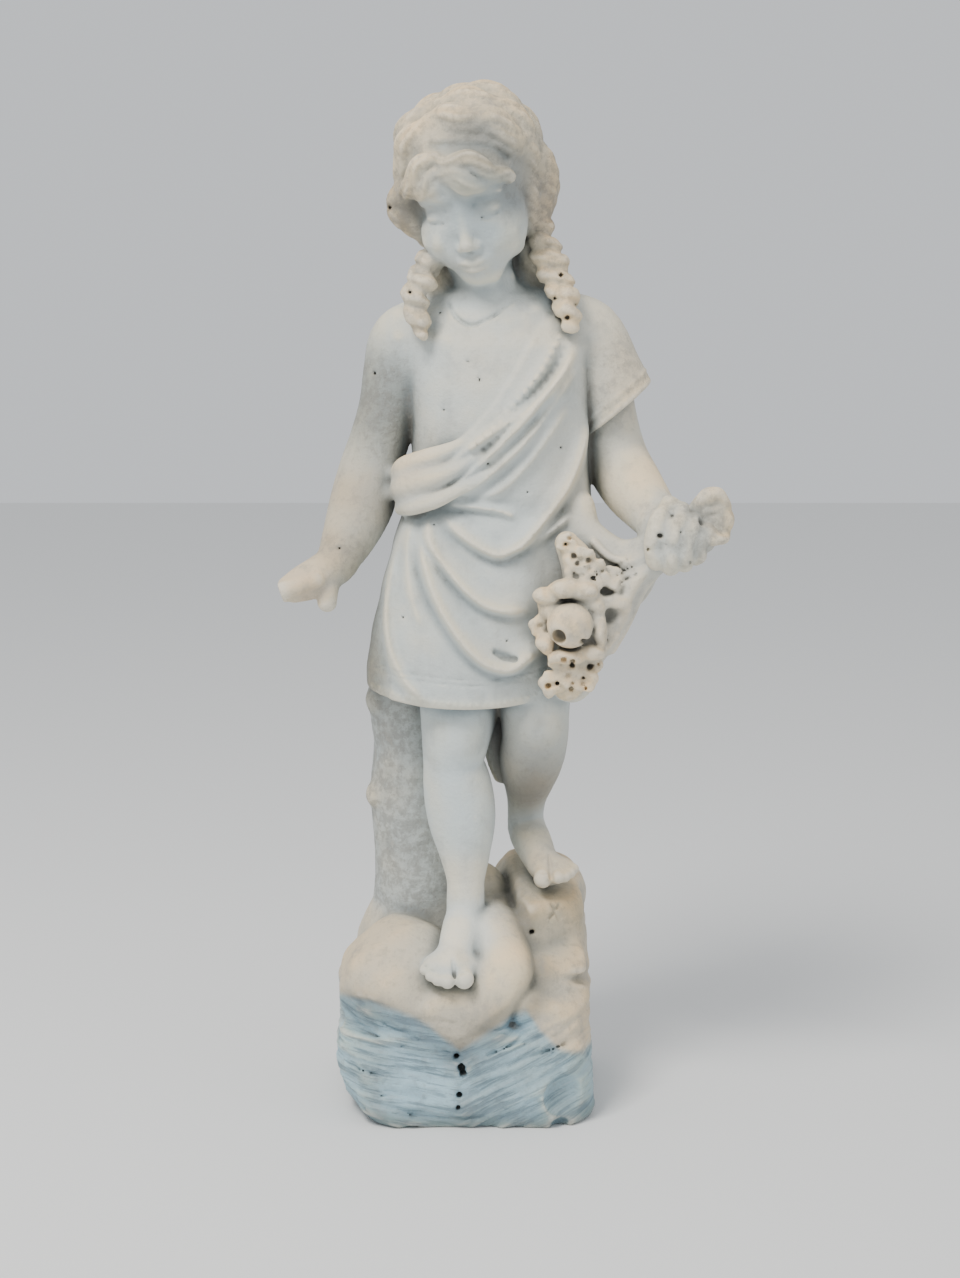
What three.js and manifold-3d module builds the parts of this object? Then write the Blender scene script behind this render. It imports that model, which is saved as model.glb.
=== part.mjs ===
// A classical marble statue: a child in a short tunic, holding an apron full of flowers.
// Child, tree-stump support and rocky base are carved from one block, so the part is one solid.
//
// Millimetres, +Z up. The origin is the middle of the flat underside. The child faces -Y and its
// right hand is at -X. The sculptor's way is followed: simple masses (eggs, limbs, a gown, stones)
// are blended into a block of signed distances, others are cut away, and the block's skin is
// then triangulated and thinned to the triangles that the carving needs.
import * as THREE from "three";
import { edgeTable, triTable } from "three/addons/objects/MarchingCubes.js";
import Module from "manifold-3d";

// ---- Driving dimensions -------------------------------------------------------------------

const CARVING_STEP = 4; // grid of the block
const TRIANGLES = 9600; // what the carving is thinned to
const FAR = 1e3; // "no marble near here"

const BASE = { left: -133, right: 131, front: -125, back: 120 }; // lower rock, before it is hewn
const HEM = 412; // lowest point of the tunic's hem
const HEAD = {
  centre: [8, -26, 914], // middle of the skull
  size: 0.92, // against the head of 200 mm, hair and all, that its forms are given for
  nod: 19, // degrees, face turned down
  turn: -16, // face turned towards its right hand
  tilt: -10, // crown leaning towards its right hand
};

// ---- The block and the chisel ---------------------------------------------------------------

const clamp = THREE.MathUtils.clamp;
const smooth = THREE.MathUtils.smoothstep;

// Least of two distances, with a fillet about `soft` wide where they meet.
function blendOf(a, b, soft) {
  const near = soft > 0 ? Math.max(soft - Math.abs(a - b), 0) / soft : 0;
  return Math.min(a, b) - near * near * soft * 0.25;
}

class Block {
  constructor(low, high, step) {
    this.low = low;
    this.step = step;
    this.count = low.map((edge, i) => Math.ceil((high[i] - edge) / step) + 1);
    this.value = new Float32Array(this.count[0] * this.count[1] * this.count[2]).fill(FAR);
  }

  // Calls change(old, x, y, z) for each grid point in a form's box and keeps what it returns.
  visit(form, reach, change) {
    const first = form.low.map((edge, i) =>
      Math.max(0, Math.floor((edge - reach - this.low[i]) / this.step)),
    );
    const last = form.high.map((edge, i) =>
      Math.min(this.count[i] - 1, Math.ceil((edge + reach - this.low[i]) / this.step)),
    );
    const [nx, ny] = this.count;
    for (let k = first[2]; k <= last[2]; k++)
      for (let j = first[1]; j <= last[1]; j++)
        for (let i = first[0]; i <= last[0]; i++) {
          const n = (k * ny + j) * nx + i;
          const x = this.low[0] + i * this.step;
          const y = this.low[1] + j * this.step;
          const z = this.low[2] + k * this.step;
          this.value[n] = change(this.value[n], x, y, z);
        }
  }

  add(form, soft = 4) {
    this.visit(form, soft + 3 * this.step, (old, x, y, z) => blendOf(old, form.at(x, y, z), soft));
  }

  cut(form, soft = 2) {
    this.visit(form, soft + 3 * this.step, (old, x, y, z) => -blendOf(-old, form.at(x, y, z), soft));
  }
}

// ---- Forms: each has a box (low, high) and at(x, y, z), its signed distance ------------------

const boxAround = (points, reach) => ({
  low: [0, 1, 2].map((i) => Math.min(...points.map((p) => p[i])) - reach),
  high: [0, 1, 2].map((i) => Math.max(...points.map((p) => p[i])) + reach),
});

// An egg: radii along its own axes, which `turn` (a THREE.Matrix4) sets in space.
function egg(centre, radii, turn = new THREE.Matrix4()) {
  const m = turn.elements;
  const [rx, ry, rz] = radii;
  return {
    ...boxAround([centre], Math.max(...radii)),
    at(x, y, z) {
      const dx = x - centre[0];
      const dy = y - centre[1];
      const dz = z - centre[2];
      const u = (m[0] * dx + m[1] * dy + m[2] * dz) / rx;
      const v = (m[4] * dx + m[5] * dy + m[6] * dz) / ry;
      const w = (m[8] * dx + m[9] * dy + m[10] * dz) / rz;
      const size = Math.hypot(u, v, w);
      return (size * (size - 1)) / (Math.hypot(u / rx, v / ry, w / rz) + 1e-9);
    },
  };
}

// A limb: round sections [x, y, z, radius] joined by a smooth curve. `flat` = [direction, factor]
// thins it along one direction, as a foot or a hand is thin.
function limb(stations, { flat = null, steps = 5 } = {}) {
  const curve = new THREE.CatmullRomCurve3(
    stations.map(([x, y, z]) => new THREE.Vector3(x, y, z)),
    false,
    "centripetal",
  );
  const girth = new THREE.CatmullRomCurve3(
    stations.map(([, , , r], i) => new THREE.Vector3(i, r, 0)),
    false,
    "centripetal",
  );
  const n = (stations.length - 1) * steps;
  const dots = Array.from({ length: n + 1 }, (_, i) => {
    const p = curve.getPoint(i / n);
    return [p.x, p.y, p.z, girth.getPoint(i / n).y];
  });
  const spans = dots.slice(1).map((b, i) => {
    const a = dots[i];
    const d = [b[0] - a[0], b[1] - a[1], b[2] - a[2]];
    return [...a, ...d, b[3] - a[3], 1 / (d[0] ** 2 + d[1] ** 2 + d[2] ** 2 + 1e-9)];
  });
  const [thin, factor] = flat ?? [[0, 0, 0], 1];
  return {
    ...boxAround(dots, Math.max(...dots.map((d) => d[3]))),
    at(x, y, z) {
      let least = FAR;
      for (const [ax, ay, az, ar, dx, dy, dz, dr, scale] of spans) {
        const px = x - ax;
        const py = y - ay;
        const pz = z - az;
        const t = clamp((px * dx + py * dy + pz * dz) * scale, 0, 1);
        const ox = px - dx * t;
        const oy = py - dy * t;
        const oz = pz - dz * t;
        const along = (factor - 1) * (ox * thin[0] + oy * thin[1] + oz * thin[2]);
        const off = Math.hypot(ox + along * thin[0], oy + along * thin[1], oz + along * thin[2]);
        least = Math.min(least, off - ar - dr * t);
      }
      return least;
    },
  };
}

const ball = ([x, y, z], r) => egg([x, y, z], [r, r, r]);

// A stone: the space inside a set of faces, each [point on it, outward normal], with worn edges.
function stone(faces, worn) {
  const planes = faces.map(([point, normal]) => {
    const n = new THREE.Vector3(...normal).normalize();
    return [n.x, n.y, n.z, n.dot(new THREE.Vector3(...point))];
  });
  return {
    at(x, y, z) {
      let most = -FAR;
      for (const [a, b, c, d] of planes) most = -blendOf(-most, d - a * x - b * y - c * z, worn);
      return most;
    },
  };
}

// What two forms have in common.
const both = (a, b, soft = 2) => ({
  low: a.low,
  high: a.high,
  at: (x, y, z) => -blendOf(-a.at(x, y, z), -b.at(x, y, z), soft),
});

// The side of a plane that its normal points away from.
const behind = (point, normal) => {
  const n = new THREE.Vector3(...normal).normalize();
  const d = n.dot(new THREE.Vector3(...point));
  return { at: (x, y, z) => n.x * x + n.y * y + n.z * z - d };
};

// ---- Drapery: a height map over the front of the gown, in x and z ----------------------------

const CLOTH = { low: [-112, 400], high: [152, 802], step: 2 };
// Where the cloth sinks below a fold, in widths of the fold, and by what share of its height.
const TROUGH = { from: 0.4, to: 1.8, depth: 0.14 };

class Drapery {
  constructor({ low, high, step }) {
    this.low = low;
    this.step = step;
    this.nx = Math.round((high[0] - low[0]) / step) + 1;
    this.nz = Math.round((high[1] - low[1]) / step) + 1;
    this.height = new Float32Array(this.nx * this.nz);
  }

  // A fold along a smooth line of [x, z] points: `width` to the crease above it and `under` to the
  // crease below it, standing `height` proud and dying out at its ends. Its crest is sharp, and the
  // cloth sinks a little beyond the lower crease.
  fold(points, { width = 10, under = width, height = 5, fade = 0.18 }) {
    const curve = new THREE.CatmullRomCurve3(points.map(([x, z]) => new THREE.Vector3(x, 0, z)));
    const line = curve.getPoints(points.length * 8);
    for (let k = 0; k < this.nz; k++)
      for (let i = 0; i < this.nx; i++) {
        const x = this.low[0] + i * this.step;
        const z = this.low[1] + k * this.step;
        let best = FAR;
        let along = 0;
        let side = 0;
        for (let s = 1; s < line.length; s++) {
          const a = line[s - 1];
          const dx = line[s].x - a.x;
          const dz = line[s].z - a.z;
          const t = clamp(((x - a.x) * dx + (z - a.z) * dz) / (dx * dx + dz * dz), 0, 1);
          const off = Math.hypot(x - a.x - dx * t, z - a.z - dz * t);
          if (off < best) {
            best = off;
            along = (s - 1 + t) / (line.length - 1);
            side = dx * (z - a.z) - dz * (x - a.x);
          }
        }
        const reach = best / (side > 0 ? width : under);
        if (reach >= TROUGH.to) continue;
        const crest = clamp(1.06 - Math.sqrt(reach * reach + 0.0036), 0, 1) ** 1.6;
        const below = side > 0 ? 0 : smooth(reach, TROUGH.from, 1) * smooth(-reach, -TROUGH.to, -1);
        const ends = smooth(along, 0, fade) * smooth(1 - along, 0, fade);
        this.height[k * this.nx + i] += height * (crest - TROUGH.depth * below) * ends;
      }
  }

  at(x, z) {
    const i = clamp((x - this.low[0]) / this.step, 0, this.nx - 1.001);
    const k = clamp((z - this.low[1]) / this.step, 0, this.nz - 1.001);
    const [i0, k0] = [Math.floor(i), Math.floor(k)];
    const [u, w] = [i - i0, k - k0];
    const n = k0 * this.nx + i0;
    const h = this.height;
    const below = h[n] * (1 - u) + h[n + 1] * u;
    return below * (1 - w) + (h[n + this.nx] * (1 - u) + h[n + this.nx + 1] * u) * w;
  }
}

// Lines on the cloth as [x, z] points.
const SASH_EDGE = [
  [97, 800], [75, 785], [58, 758], [35, 718], [14, 692], [-13, 667], [-34, 652],
];
const FRONT_EDGE = [[-58, 620], [-66, 580], [-75, 540], [-80, 500], [-78, 470], [-74, 400]];
const FOLDS = [
  // the sash, from the left shoulder to the gathered cloth on the right hip
  { points: [[90, 775], [72, 738], [48, 708], [20, 682], [-14, 660]], width: 9, height: 3 },
  {
    points: [[110, 770], [92, 735], [62, 704], [34, 684], [10, 668], [-16, 650], [-36, 640]],
    width: 13, under: 9, height: 10,
  },
  {
    points: [[114, 762], [84, 722], [56, 690], [30, 664], [4, 640], [-20, 622], [-36, 616]],
    width: 12, under: 8, height: 10,
  },
  {
    points: [[116, 748], [92, 716], [66, 680], [38, 652], [8, 627], [-22, 611]],
    width: 11, under: 8, height: 9,
  },
  { points: [[104, 712], [83, 680], [59, 648], [34, 625], [6, 612]], width: 10, height: 6 },
  { points: [[-24, 611], [6, 608], [34, 604], [52, 597]], width: 9, under: 6, height: 7 },
  // the first swag runs on up to the shoulder, and a second ridge joins it
  {
    points: [
      [-26, 606], [-10, 587], [14, 570], [33, 563], [53, 572], [77, 596], [100, 626], [118, 672],
      [126, 722],
    ],
    width: 17, under: 8, height: 12,
  },
  { points: [[44, 566], [64, 574], [86, 587], [106, 601]], width: 9, under: 7, height: 6 },
  // the lower swags
  {
    points: [[-34, 606], [-35, 577], [-20, 553], [0, 530], [20, 515], [44, 509], [66, 511]],
    width: 18, under: 8, height: 12,
  },
  {
    points: [
      [-44, 604], [-41, 560], [-30, 524], [-11, 491], [8, 468], [25, 456], [44, 453], [64, 466],
      [82, 481],
    ],
    width: 21, under: 9, height: 15,
  },
  { points: [[-52, 600], [-56, 560], [-52, 520], [-40, 486]], width: 9, height: 4 },
  // the edge of the skirt's front, which ends in a corner ridge by the hem
  {
    points: [[-58, 606], [-72, 560], [-78, 520], [-76, 480], [-64, 449], [-50, 431], [-32, 417]],
    width: 9, under: 13, height: 8,
  },
  { points: [[-66, 600], [-86, 540], [-94, 480], [-96, 420]], width: 8, height: 5, fade: 0.05 },
];

const drapery = new Drapery(CLOTH);
for (const { points, ...shape } of FOLDS) drapery.fold(points, shape);

// ---- The gown: how far it reaches left, right, front and back at each height -----------------

const GOWN = [
  [404, -98, 96, -84, 80],
  [440, -99, 106, -86, 80],
  [475, -94, 116, -88, 76],
  [520, -84, 122, -84, 70],
  [565, -72, 126, -76, 63],
  [605, -60, 125, -70, 58],
  [640, -53, 121, -70, 56],
  [680, -51, 120, -73, 60],
  [720, -55, 123, -70, 62],
  [760, -58, 124, -60, 58],
  [785, -46, 106, -48, 52],
  [806, -22, 74, -34, 42],
];
const GOWN_SQUARE = 2.15; // 2 is an oval section, more is squarer
const GOWN_STRAIGHT = 0.6; // from row to row: 0 is an S-curve, 1 a straight line
const SASH_THICK = 3.5;
const SKIRT_THICK = 5; // of the front of the skirt over what lies under it
const HEM_RISE = 0.0011; // 1/mm, how much the hem rises with the square of x
const PLEATS = { depth: 2.5, perMm: 0.17 }; // down the back of the skirt
const KNOT = [[-45, -46, 630], [24, 28, 27]]; // the gathered cloth on the right hip
const KNOT_BODY = [[-50, -46, 630, 18], [-24, -58, 640, 15], [4, -62, 654, 10], [26, -62, 672, 5]];
const KNOT_FOLDS = [ // rolls that come down the sash and wrap round it
  [[-66, -28, 636, 8], [-56, -56, 646, 10], [-36, -70, 654, 10], [-12, -73, 664, 7], [8, -71, 676, 3]],
  [[-68, -28, 618, 8], [-56, -58, 626, 10], [-34, -75, 634, 10], [-8, -78, 645, 6], [14, -76, 658, 3]],
  [[-62, -38, 603, 7], [-48, -67, 608, 8], [-24, -78, 616, 7], [2, -79, 629, 4], [20, -78, 640, 2]],
];

// How far left a line of [x, z] points, listed from the top down, reaches at a height.
function lineAt(points) {
  const curve = new THREE.CatmullRomCurve3(points.map(([x, z]) => new THREE.Vector3(x, 0, z)));
  const line = curve.getPoints(60);
  return (z) => (line.find((p) => p.z < z) ?? line.at(-1)).x;
}

function gown() {
  const reach = GOWN.map(([z, l, r, f, b]) => [z, (l + r) / 2, (r - l) / 2, (f + b) / 2, (b - f) / 2]);
  const [first, last] = [GOWN[0][0], GOWN.at(-1)[0]];
  const table = [];
  let row = 0;
  for (let z = first; z <= last; z++) {
    while (row < reach.length - 2 && z > reach[row + 1][0]) row++;
    const [from, to] = [reach[row], reach[row + 1]];
    const straight = (z - from[0]) / (to[0] - from[0]);
    const t = smooth(z, from[0], to[0]) * (1 - GOWN_STRAIGHT) + straight * GOWN_STRAIGHT;
    table.push(from.map((v, i) => v + (to[i] - v) * t));
  }
  const sash = lineAt(SASH_EDGE);
  const front = lineAt(FRONT_EDGE);
  const edges = table.map((_, i) => [sash(first + i), front(first + i)]);
  return {
    low: [-110, -100, HEM - 12],
    high: [140, 95, last + 20],
    at(x, y, z) {
      const i = clamp(Math.round(z - first), 0, table.length - 1);
      const [, cx, a, cy, b] = table[i];
      const u = (x - cx) / a;
      const v = (y - cy) / b;
      const share = (Math.abs(u) ** GOWN_SQUARE + Math.abs(v) ** GOWN_SQUARE) ** (1 / GOWN_SQUARE);
      const across = Math.hypot(x - cx, y - cy);
      const forward = smooth(-v, 0.1, 0.7);
      const [sashX, skirtX] = edges[i];
      const layer =
        SASH_THICK * smooth(x - sashX, -2, 3) * smooth(z, 600, 625) +
        SKIRT_THICK * smooth(x - skirtX, -3, 4) * smooth(615 - z, 0, 30);
      const cloth = (drapery.at(x, z) + layer) * forward;
      const wave = Math.sin(x * PLEATS.perMm + z * 0.01);
      const pleat = PLEATS.depth * smooth(v, 0, 0.6) * smooth(640 - z, 0, 120) * wave;
      const side = across * (1 - 1 / Math.max(share, 0.02)) - cloth - pleat;
      const hem = HEM + HEM_RISE * x * x - z;
      const top = z - last;
      return -blendOf(-side, -Math.max(hem, top), 3);
    },
  };
}

// ---- Head -----------------------------------------------------------------------------------

const degrees = THREE.MathUtils.degToRad;
const spin = (axis, angle) => new THREE.Matrix4()[`makeRotation${axis}`](degrees(angle));
const headTurn = spin("Y", HEAD.tilt).multiply(spin("Z", HEAD.turn)).multiply(spin("X", HEAD.nod));

// A point of the upright head (x to the child's left, y back, z up, from the skull's middle).
function onHead([x, y, z, r = 0]) {
  const p = new THREE.Vector3(x, y, z).applyMatrix4(headTurn).multiplyScalar(HEAD.size);
  return [p.x + HEAD.centre[0], p.y + HEAD.centre[1], p.z + HEAD.centre[2], r * HEAD.size];
}
const headEgg = (centre, radii) => {
  const [x, y, z] = onHead(centre);
  return egg([x, y, z], radii.map((r) => r * HEAD.size), headTurn);
};
const headLimb = (stations, shape) => limb(stations.map(onHead), shape);

const CAP = { centre: [0, 8, 24], radii: [69, 80, 70] }; // the hair without its waves
const SUNK = { hair: 0.35, fringe: -0.15 }; // share of a lock's radius that lies in the cap

// A lock of hair lies on the cap.
function lock(stations, sunk) {
  const laid = stations.map(([x, y, z, r]) => {
    const out = [x, y, z].map((v, i) => v - CAP.centre[i]);
    const reach = Math.hypot(...out.map((v, i) => v / CAP.radii[i]));
    const at = 1 / reach - (sunk * r) / Math.hypot(...out);
    return [...out.map((v, i) => CAP.centre[i] + v * at), r];
  });
  return headLimb(laid);
}
const LOCKS = [
  // the crown, from the parting to the child's left
  [[-10, 30, 98, 9], [26, 28, 94, 19], [56, 30, 70, 20], [74, 40, 34, 17], [72, 44, 6, 10]],
  [[-12, 0, 100, 9], [20, -8, 98, 19], [52, -4, 78, 20], [74, 10, 42, 19], [78, 22, 6, 12]],
  [[-14, -30, 96, 9], [14, -38, 92, 18], [42, -36, 78, 21], [66, -22, 46, 20], [78, 0, 14, 14]],
  // the crown, from the parting to the child's right
  [[-22, 30, 96, 9], [-46, 30, 84, 18], [-66, 36, 54, 19], [-74, 44, 20, 14]],
  [[-22, 2, 98, 9], [-48, 0, 84, 19], [-68, 8, 54, 20], [-76, 20, 18, 14]],
  [[-24, -28, 92, 8], [-46, -34, 74, 18], [-64, -26, 48, 19], [-70, -20, 22, 15]],
  // down the back of the head
  [[4, 50, 90, 8], [26, 72, 62, 17], [46, 72, 24, 17], [44, 66, -14, 14], [28, 60, -44, 10]],
  [[-8, 52, 90, 8], [-22, 78, 58, 17], [-40, 78, 20, 17], [-44, 66, -16, 14], [-26, 60, -44, 10]],
  [[0, 64, 80, 6], [6, 90, 44, 15], [-2, 94, 4, 15], [4, 80, -36, 12]],
];
// The hollow under the waves of the crown, where the fringe starts.
const UNDER_CROWN = [
  [-20, -66, 72, 4], [-4, -76, 72, 6], [14, -78, 68, 7], [32, -74, 62, 7], [50, -62, 50, 6],
  [62, -48, 34, 4],
];
const FRINGE = [ // short curls that lie on the forehead
  [[-12, -70, 56, 6], [8, -78, 52, 10], [28, -76, 42, 12], [46, -66, 28, 11], [56, -54, 12, 8]],
  [[-14, -78, 46, 6], [2, -82, 38, 10], [18, -80, 28, 11], [32, -74, 22, 8], [40, -68, 26, 5]],
  [[-18, -72, 60, 7], [-34, -72, 48, 12], [-50, -60, 32, 13], [-62, -46, 14, 10]],
  [[-16, -80, 40, 6], [-28, -78, 32, 9], [-42, -70, 23, 9], [-52, -60, 18, 6]],
];
const COLLAR = [
  [-14, -18, 818, 2], [-15, -33, 804, 3], [-10, -40, 794, 3], [2, -45, 787, 3], [24, -47, 786, 3],
  [42, -43, 793, 3], [54, -32, 806, 3], [58, -16, 818, 2],
];
const NECK = [[26, 6, 770, 44], [24, 0, 800, 35], [20, -8, 824, 31], [14, -14, 850, 33]];
// Broad masses of the face, upright: centre, radii and the width of the fillet into the rest.
const FACE = [
  [[0, 8, 22], [66, 78, 70], 2],
  [[0, -22, -22], [55, 52, 66], 6],
  [[0, -30, 26], [52, 45, 42], 3], // brow
  [[0, -46, -72], [25, 26, 20], 12], // chin
  [[0, -58, -57], [22, 19, 15], 9], // around the mouth
];
const CHEEK = [[28, -43, -40], [25, 27, 26], 12];
const SOCKET = [[26, -86, -6], [20, 18, 12], 9];
const EYE = [[26, -54, -9], [15, 13.5, 10], 2];
const BROW = [[9, -68, 11, 3], [24, -68, 15, 4], [42, -58, 9, 3]];
const EAR = [[59, 4, -20], [6, 11, 17], 4];
const NOSTRIL = [[8, -72, -41], [6, 8, 5.5], 4];
const NOSE = [[0, -66, 4, 5], [0, -69, -14, 5.5], [0, -76, -31, 6.5], [0, -79, -37, 7.5]];
const UPPER_LIP = [
  [-16, -69, -59, 2], [-6, -76, -57, 3.6], [0, -76.5, -58.5, 3.2], [6, -76, -57, 3.6],
  [16, -69, -59, 2],
];
const LOWER_LIP = [[-12, -70, -64, 2], [0, -75, -66, 4.6], [12, -70, -64, 2]];
const MOUTH = [[-17, -73, -61, 1.5], [0, -80.5, -62, 1.8], [17, -73, -61, 1.5]];
const UNDER_LIP = [[0, -85, -75], [13, 11, 5], 7];
const LASHES = [[14, -67, -14, 1.5], [26, -70, -17.5, 1.8], [39, -62, -14, 1.5]];

const HAIRLINE = [[0, -98, -33], [52, 58, 64]]; // what is taken out of the hair for the face

const mirrored = ([x, ...rest]) => [-x, ...rest];

function carveHead(block) {
  block.add(limb(NECK), 12);
  block.add(limb(COLLAR), 3);
  block.add(headEgg(CAP.centre, CAP.radii), 4);
  for (const stations of LOCKS) block.add(lock(stations, SUNK.hair), 3);
  block.cut(lock(UNDER_CROWN, 0), 4);
  block.cut(headEgg(...HAIRLINE), 5);
  for (const [centre, radii, soft] of FACE) block.add(headEgg(centre, radii), soft);
  for (const side of [(v) => v, mirrored]) {
    block.add(headEgg(side(CHEEK[0]), CHEEK[1]), CHEEK[2]);
    block.cut(headEgg(side(SOCKET[0]), SOCKET[1]), SOCKET[2]);
    block.add(headLimb(BROW.map(side)), 8);
    block.add(headEgg(side(EYE[0]), EYE[1]), EYE[2]);
    block.cut(headLimb(LASHES.map(side)), 2);
    block.add(headEgg(side(EAR[0]), EAR[1]), EAR[2]);
  }
  block.add(headLimb(NOSE), 5);
  for (const side of [(v) => v, mirrored]) {
    block.add(headEgg(side(NOSTRIL[0]), NOSTRIL[1]), NOSTRIL[2]);
  }
  block.add(headLimb(UPPER_LIP), 3);
  block.add(headLimb(LOWER_LIP), 3);
  block.cut(headLimb(MOUTH), 2);
  block.cut(headEgg(UNDER_LIP[0], UNDER_LIP[1]), UNDER_LIP[2]);
  for (const stations of FRINGE) block.add(lock(stations, SUNK.fringe), 2.5);
}

// Hair that hangs clear of the head, in the child's own place.
const PUFFS = [
  [[50, -38, 950, 14], [64, -30, 938, 20], [70, -20, 918, 22], [68, -14, 898, 20], [66, -10, 880, 14]],
  [[40, -52, 938, 9], [56, -44, 920, 13], [60, -34, 898, 13], [62, -22, 878, 12]],
  [[-36, -48, 914, 11], [-54, -42, 908, 14], [-62, -34, 894, 14], [-54, -32, 880, 13], [-42, -30, 872, 11]],
  [[-48, -30, 910, 17], [-50, -29, 890, 17], [-36, -20, 868, 13]],
  [[52, -4, 880, 15], [62, -4, 856, 14], [74, -10, 834, 12]],
  [[-16, -14, 876, 13], [-26, -22, 850, 12]],
  [[54, 8, 888, 18], [58, 8, 852, 17], [66, 4, 820, 18]], // behind the neck
  [[-16, 4, 880, 16], [-18, 4, 848, 17], [-24, 2, 818, 17]],
];
const RINGLETS = [
  [
    [68, -12, 892, 17], [74, -15, 866, 16], [82, -24, 842, 18], [90, -34, 818, 17],
    [98, -45, 796, 16], [103, -50, 780, 12],
  ],
  [
    [-24, -22, 868, 14], [-32, -32, 844, 16], [-42, -42, 823, 17], [-48, -47, 804, 16],
    [-45, -51, 786, 13], [-38, -53, 772, 9],
  ],
];
const TWIST = 21; // mm of ringlet to one turn of its curl
const COIL_STEPS = 8; // spans to one turn

function carveHair(block) {
  for (const puff of PUFFS) block.add(limb(puff), 5);
  for (const path of RINGLETS) {
    const curve = new THREE.CatmullRomCurve3(path.map(([x, y, z]) => new THREE.Vector3(x, y, z)));
    const size = new THREE.CatmullRomCurve3(path.map(([, , , r], i) => new THREE.Vector3(i, r, 0)));
    const steps = Math.round((curve.getLength() / TWIST) * COIL_STEPS);
    const coil = Array.from({ length: steps + 1 }, (_, i) => {
      const p = curve.getPoint(i / steps);
      const angle = (i / COIL_STEPS) * 2 * Math.PI;
      const out = size.getPoint(i / steps).y * 0.46;
      return [p.x + out * Math.cos(angle), p.y + out * Math.sin(angle), p.z, out * 1.15];
    });
    block.add(limb(path.map(([x, y, z, r]) => [x, y, z, r * 0.62])), 3);
    block.add(limb(coil, { steps: 1 }), 1.5);
  }
}

// ---- Body -----------------------------------------------------------------------------------

const CHEST = [
  [-50, 8, 756, 38], [-12, 4, 770, 44], [30, 2, 774, 46], [78, 6, 772, 44], [112, 12, 760, 38],
];
const RIGHT_ARM = [
  [-38, 14, 772, 34], [-58, 10, 762, 36], [-68, 8, 738, 32], [-76, 6, 700, 29], [-85, 5, 668, 29],
  [-93, 4, 640, 31], [-102, -6, 606, 32], [-113, -24, 577, 27], [-127, -45, 548, 19],
];
const RIGHT_PALM = [
  [-124, -42, 551, 19], [-139, -54, 541, 20], [-154, -60, 533, 19], [-168, -64, 527, 15],
];
const RIGHT_THUMB = [[-130, -48, 545, 13], [-134, -60, 526, 11], [-134, -63, 514, 9.5]];
const FINGERS = { root: 10, tip: 8.5 }; // radii of the closed fingers
const RIGHT_FINGERS = [ // each from its root to the middle joint, where all are broken off
  [[-144, -70, 538], [-184, -78, 524]],
  [[-146, -62, 534], [-188, -68, 519]],
  [[-146, -54, 532], [-188, -58, 519]],
  [[-144, -48, 534], [-184, -50, 523]],
];
const BREAK = { at: [-180, -60, 525], facing: [-0.94, -0.1, -0.32] };
const BREAK_BOX = { low: [-200, -100, 500], high: [-170, -30, 545] };

const LEFT_ARM = [
  [100, 14, 770, 36], [122, 14, 762, 34], [134, 8, 728, 29], [141, 5, 690, 28], [150, 6, 648, 31],
  [162, -12, 625, 31], [178, -42, 604, 26], [190, -68, 590, 21],
];
const SLEEVE = [[98, 12, 776, 36], [116, 12, 766, 40], [134, 8, 730, 41], [154, 4, 688, 43]];
const SLEEVE_EDGE = { at: [149, 0, 696], facing: [0.63, 0, -0.77] };

const RIGHT_LEG = [
  [-4, -22, 440, 44], [-6, -30, 405, 39], [-10, -38, 372, 33], [-12, -36, 350, 30],
  [-8, -32, 325, 34], [-4, -32, 295, 34], [-1, -38, 262, 26], [0, -42, 232, 19], [0, -44, 210, 19],
];
const RIGHT_FOOT = [[2, -24, 188, 20], [-2, -56, 186, 21], [-8, -84, 176, 18], [-13, -104, 165, 15]];
const RIGHT_BALL = [[-15, -100, 161], [27, 24, 14]];
const LEFT_LEG = [
  [64, -26, 436, 42], [68, -34, 403, 35], [69, -30, 376, 33], [66, -14, 350, 32],
  [64, 8, 325, 26], [62, 28, 300, 20], [61, 42, 276, 18],
];
const LEFT_FOOT = [[60, 56, 262, 17], [66, 28, 258, 20], [76, -2, 242, 17], [84, -18, 234, 14]];
const LEFT_BALL = [[88, -14, 236], [23, 20, 12]];
// Toes as [x, y, z, radius], the big one first.
const RIGHT_TOES = [
  [-1, -122, 153, 10], [-17, -126, 152, 7.5], [-26, -122, 153, 7], [-33, -116, 155, 6.5],
  [-39, -107, 158, 6],
];
const LEFT_TOES = [
  [77, -38, 231, 9.5], [92, -39, 233, 7], [99, -35, 233, 6.5], [105, -28, 235, 6],
  [109, -20, 237, 5.5],
];
const TOE_ROOT = { x: 0.3, y: 0.7, z: 0.6 }; // how far a toe reaches back to the ball of the foot
const TOE_GAP = { radius: 2.2, back: 20 }; // the hollow between the big toe and the next
const WEB = [[33, 6, 428, 20], [33, 8, 385, 18], [34, 12, 345, 14], [36, 18, 326, 9]]; // between the legs
const KNEECAPS = [[[-8, -58, 384], [20, 14, 22]], [[72, -56, 390], [18, 12, 20]]];

function carveBody(block) {
  block.add(limb(CHEST), 14);
  block.add(limb(RIGHT_ARM), 10);
  block.add(limb(RIGHT_PALM, { flat: [[0.45, 0.6, 0.66], 1.35] }), 4);
  block.add(limb(RIGHT_THUMB), 3);
  for (const [root, tip] of RIGHT_FINGERS) {
    block.add(limb([[...root, FINGERS.root], [...tip, FINGERS.tip]]), 2);
  }
  const kept = behind(BREAK.at, BREAK.facing);
  block.cut({ ...BREAK_BOX, at: (x, y, z) => -kept.at(x, y, z) }, 1);
}

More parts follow.
